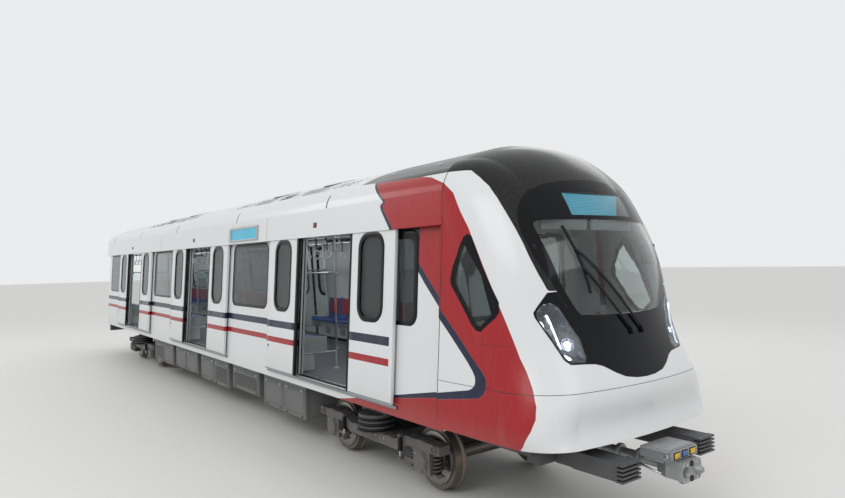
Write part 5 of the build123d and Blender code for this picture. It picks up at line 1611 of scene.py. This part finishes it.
def make_bogie_work(n, bx):
    work = Piece("bogie_work_%d" % n)
    for side in (-1, 1):
        mid = side * 0.960
        for d in (-1, 1):
            ax = bx + d * axle_reach
            face = side * 1.030
            work.add(turned([(0.0, 0.0), (0.118, 0.0), (0.118, 0.010), (0.104, 0.016), (0.104, 0.030),
                             (0.092, 0.040), (0.040, 0.043), (0.0, 0.044)], (ax, face - side * 0.002, axle_z),
                            (0, side, 0), 36), frame_paint)
            ring_of_bolts(work, (ax, face + side * 0.006), side, 6, 0.111, 0.011, 0.014, 0.3)
            for dx in (-0.205, 0.205):
                x = ax + dx
                for z0, z1 in ((0.258, 0.272), (0.486, 0.500)):
                    work.add(turned([(0.0, 0.0), (0.056, 0.0), (0.056, z1 - z0), (0.0, z1 - z0)], (x, mid, z0),
                                    (0, 0, 1), 24),
                             frame_paint)
                work.add(coil((x, mid), 0.044, 0.0095, 0.276, 0.484, 5), spring_paint)
                work.add(rod((x, mid, 0.272), (x, mid, 0.486), 0.020, sides=14), rubber)
                a, b = sorted((ax + math.copysign(0.140, dx), x + math.copysign(0.060, dx)))
                work.add(block((a, mid - 0.058, 0.240), (b, mid + 0.058, 0.262), 0.006), frame_paint)
            work.add(block((ax - 0.060, mid - 0.085, 0.590), (ax + 0.060, mid + 0.085, 0.612), 0.006), frame_paint)
            # brake unit ahead of the tread
            y = side * 0.752
            x = bx + d * 0.590
            work.add(block((min(x, x + d * 0.042), y - 0.045, 0.290), (max(x, x + d * 0.042), y + 0.045, 0.466),
                           0.008), cast_iron)
            work.add(rod((bx + d * 0.300, y, 0.430), (x + d * 0.006, y, 0.385), 0.058, 0.044, 20, 0.008),
                     frame_paint)
            work.add(block((bx + d * 0.262 - 0.004, y - 0.085, 0.405), (bx + d * 0.330 + 0.004, y + 0.085, 0.515),
                           0.010), frame_paint)
            # damper beside the axle box
            x, y = ax - d * 0.360, side * 1.062
            work.add(rod((x, y, 0.420), (x, y, 0.580), 0.026, sides=20, edge=0.004), black_trim)
            work.add(rod((x, y, 0.345), (x, y, 0.425), 0.012, sides=14), steel_tube)
            for z, r in ((0.590, 0.022), (0.340, 0.020)):
                work.add(rod((x, side * 1.020, z), (x, side * 1.085, z), r, sides=16, edge=0.003), frame_paint)
            a, b = sorted((x, ax - d * 0.148))
            work.add(block((a - 0.018, side * 1.005 - 0.018, 0.318), (b + 0.004, side * 1.005 + 0.018, 0.358),
                           0.005), frame_paint)
        # folds of the air spring
        for z, r in ((0.560, 0.238), (0.622, 0.242), (0.684, 0.238)):
            work.add(turned([(r - 0.030, -0.027), (r - 0.008, -0.022), (r, 0.0), (r - 0.008, 0.022),
                             (r - 0.030, 0.027), (r - 0.034, 0.0), (r - 0.030, -0.027)], (bx, mid, z), (0, 0, 1),
                            40), rubber)
        work.add(turned([(0.0, 0.0), (0.246, 0.0), (0.246, 0.010), (0.0, 0.010)], (bx, mid, 0.5215), (0, 0, 1), 40),
                 frame_paint)
        for x in (bx - 0.380, bx + 0.380):
            work.add(block((x - 0.050, mid - 0.082, 0.510), (x + 0.050, mid + 0.082, 0.530), 0.006), frame_paint)
        for x in (bx - 1.235, bx + 1.235):
            work.add(turned([(0.030, -0.010), (0.048, -0.008), (0.048, 0.008), (0.030, 0.010), (0.030, -0.010)],
                            (x, side * 1.037, 0.550), (0, side, 0), 24), frame_paint)
        for k in range(-3, 4):
            work.add(rod((bx + 0.09 * k, side * 1.034, 0.480), (bx + 0.09 * k, side * 1.042, 0.480), 0.010,
                         sides=6), steel_tube)
    # ribs of the gear cases
    for k in range(7):
        y = -0.255 + 0.085 * k
        for d in (-1, 1):
            work.add(turned([(0.208, -0.008), (0.2165, -0.008), (0.2165, 0.008), (0.208, 0.008), (0.208, -0.008)],
                            (bx + d * 0.4695, y, 0.440), (0, 1, 0), 36), frame_paint)
    work.done("bogie_%d" % n, "frame_grey")


def make_wheel_work(name, ax):
    work = Piece("wheel_work_" + name.removeprefix("wheelset_"))
    for side in (-1, 1):
        face = side * wheel_face
        work.add(turned([(0.082, 0.0), (0.128, 0.0), (0.128, 0.010), (0.118, 0.016), (0.082, 0.016), (0.082, 0.0)],
                        (ax, face, axle_z), (0, side, 0), 40), wheel_steel)
        work.add(turned([(0.175, -0.002), (0.292, -0.002), (0.292, 0.012), (0.286, 0.015), (0.181, 0.015),
                         (0.175, 0.012), (0.175, -0.002)], (ax, face, axle_z), (0, side, 0), 48), disc_steel)
        ring_of_bolts(work, (ax, face + side * 0.010), side, 8, 0.195, 0.012, 0.014)
        ring_of_bolts(work, (ax, face + side * 0.012), side, 12, 0.104, 0.007, 0.010, 0.5 * math.tau / 12)
    work.done(name, "wheel_steel")


for n, bx in enumerate(bogie_xs):
    make_bogie_work(n + 1, bx)
    make_wheel_work("wheelset_%d_rear" % (n + 1), bx - axle_reach)
    make_wheel_work("wheelset_%d_front" % (n + 1), bx + axle_reach)


# Coupler: contact box with three plain coloured plates, bolts, collars, face seals and a pipe
def make_coupler_work():
    work = Piece("coupler_work")
    for y, tone in ((-0.124, yellow_plate), (0.0, blue_plate), (0.124, yellow_plate)):
        work.add(block((9.228, y - 0.046, 0.808), (9.237, y + 0.046, 0.870), 0.003), black_trim)
        work.add(block((9.233, y - 0.036, 0.816), (9.2405, y + 0.036, 0.862), 0.003), tone)
    work.add(block((8.950, -0.200, 0.884), (9.190, 0.200, 0.890), 0.003), silver_paint)
    for x in (8.975, 9.070, 9.165):
        for y in (-0.175, 0.175):
            work.add(rod((x, y, 0.886), (x, y, 0.896), 0.010, sides=6), steel_tube)
    for side in (-1, 1):
        work.add(rod((9.190, side * 0.206, 0.836), (9.190, side * 0.232, 0.836), 0.022, sides=20, edge=0.003),
                 steel_tube)
        a, b = span(side, 0.216, 0.228)
        work.add(block((9.080, a, 0.822), (9.200, b, 0.850), 0.004), silver_paint)
        a, b = span(side, 0.150, 0.206)
        work.add(block((8.960, a, 0.770), (9.150, b, 0.792), 0.004), silver_paint)
        for z in (0.635, 0.765):
            for y in (0.075, 0.132):
                work.add(rod((9.292, side * y, z), (9.302, side * y, z), 0.011, sides=6), steel_tube)
    for z in (0.765, 0.636):
        work.add(turned([(0.013, 0.0), (0.026, 0.0), (0.026, 0.006), (0.018, 0.010), (0.013, 0.006), (0.013, 0.0)],
                        (9.2945, 0.0, z), (1, 0, 0), 24), rubber)
    for x in (8.560, 8.780):
        work.add(turned([(0.052, -0.022), (0.078, -0.022), (0.084, -0.014), (0.084, 0.014), (0.078, 0.022),
                         (0.052, 0.022), (0.052, -0.022)], (x, 0.0, 0.700), (1, 0, 0), 32), silver_paint)
    work.add(turned([(0.0, 0.0), (0.060, 0.0), (0.056, 0.010), (0.030, 0.014), (0.0, 0.014)], (8.330, 0.0, 0.770),
                    (0, 0, 1), 28),
             steel_tube)
    work.add(bent_tube([(9.090, -0.152, 0.660), (9.080, -0.176, 0.668), (8.960, -0.176, 0.690),
                        (8.800, -0.130, 0.700), (8.700, -0.086, 0.700)], 0.011), steel_tube)
    work.done("coupler", "coupler_silver")


make_coupler_work()


# The room round the car
def floor_and_lights():
    bm = bmesh.new()
    bmesh.ops.create_grid(bm, x_segments=1, y_segments=1, size=120.0)
    mesh = bpy.data.meshes.new("studio_floor")
    bm.to_mesh(mesh)
    bm.free()
    ground = bpy.data.objects.new("studio_floor", mesh)
    bpy.context.scene.collection.objects.link(ground)
    mat, tree, shader = fresh_material("studio floor")
    spots = placed(tree, mottle, Colour=srgb(222, 221, 218), Change=0.04, Scale=0.8)
    tree.links.new(spots["Colour"], shader.inputs["Base Color"])
    shader.inputs["Roughness"].default_value = 0.6
    mesh.materials.append(mat)
    world = bpy.data.worlds.new("studio")
    bpy.context.scene.world = world
    world.use_nodes = True
    back = world.node_tree.nodes["Background"]
    back.inputs["Color"].default_value = (0.90, 0.91, 0.92, 1)
    back.inputs["Strength"].default_value = 0.92
    for name, spot, aim, size, power in (
        ("key_light", (11.0, -13.0, 11.0), (3.0, 0.0, 2.0), (9.0, 6.0), 620),
        ("front_light", (19.0, 1.0, 8.0), (8.0, 0.0, 2.0), (6.0, 5.0), 160),
        ("rear_light", (-12.0, -11.0, 10.0), (-4.0, 0.0, 2.0), (9.0, 6.0), 320),
        ("far_light", (0.0, 14.0, 12.0), (0.0, 0.0, 2.0), (12.0, 6.0), 260),
    ):
        lamp = bpy.data.lights.new(name, "AREA")
        lamp.shape = "RECTANGLE"
        lamp.size, lamp.size_y = size
        lamp.energy = power
        holder = bpy.data.objects.new(name, lamp)
        holder.location = spot
        holder.rotation_euler = (Vector(aim) - Vector(spot)).to_track_quat("-Z", "Y").to_euler()
        bpy.context.scene.collection.objects.link(holder)


def photo_camera():
    """Camera where the photograph was taken."""
    cam = bpy.data.cameras.new("photo_camera")
    sensor = 36.0
    photo_width, focal_pixels = 845.0, 634.0
    cam.sensor_width = sensor
    cam.lens = focal_pixels / photo_width * sensor
    cam.clip_end = 400.0
    holder = bpy.data.objects.new("photo_camera", cam)
    right = Vector((0.60008, 0.79963, -0.02226))
    down = Vector((-0.02825, -0.00663, -0.99958))
    ahead = Vector((-0.79944, 0.60046, 0.01861))
    turn = Matrix((right, -down, -ahead)).transposed()
    holder.matrix_world = Matrix.Translation((12.376, -5.2102, 2.5912)) @ turn.to_4x4()
    bpy.context.scene.collection.objects.link(holder)
    bpy.context.scene.camera = holder


floor_and_lights()
photo_camera()
bpy.context.scene.view_settings.view_transform = "Standard"
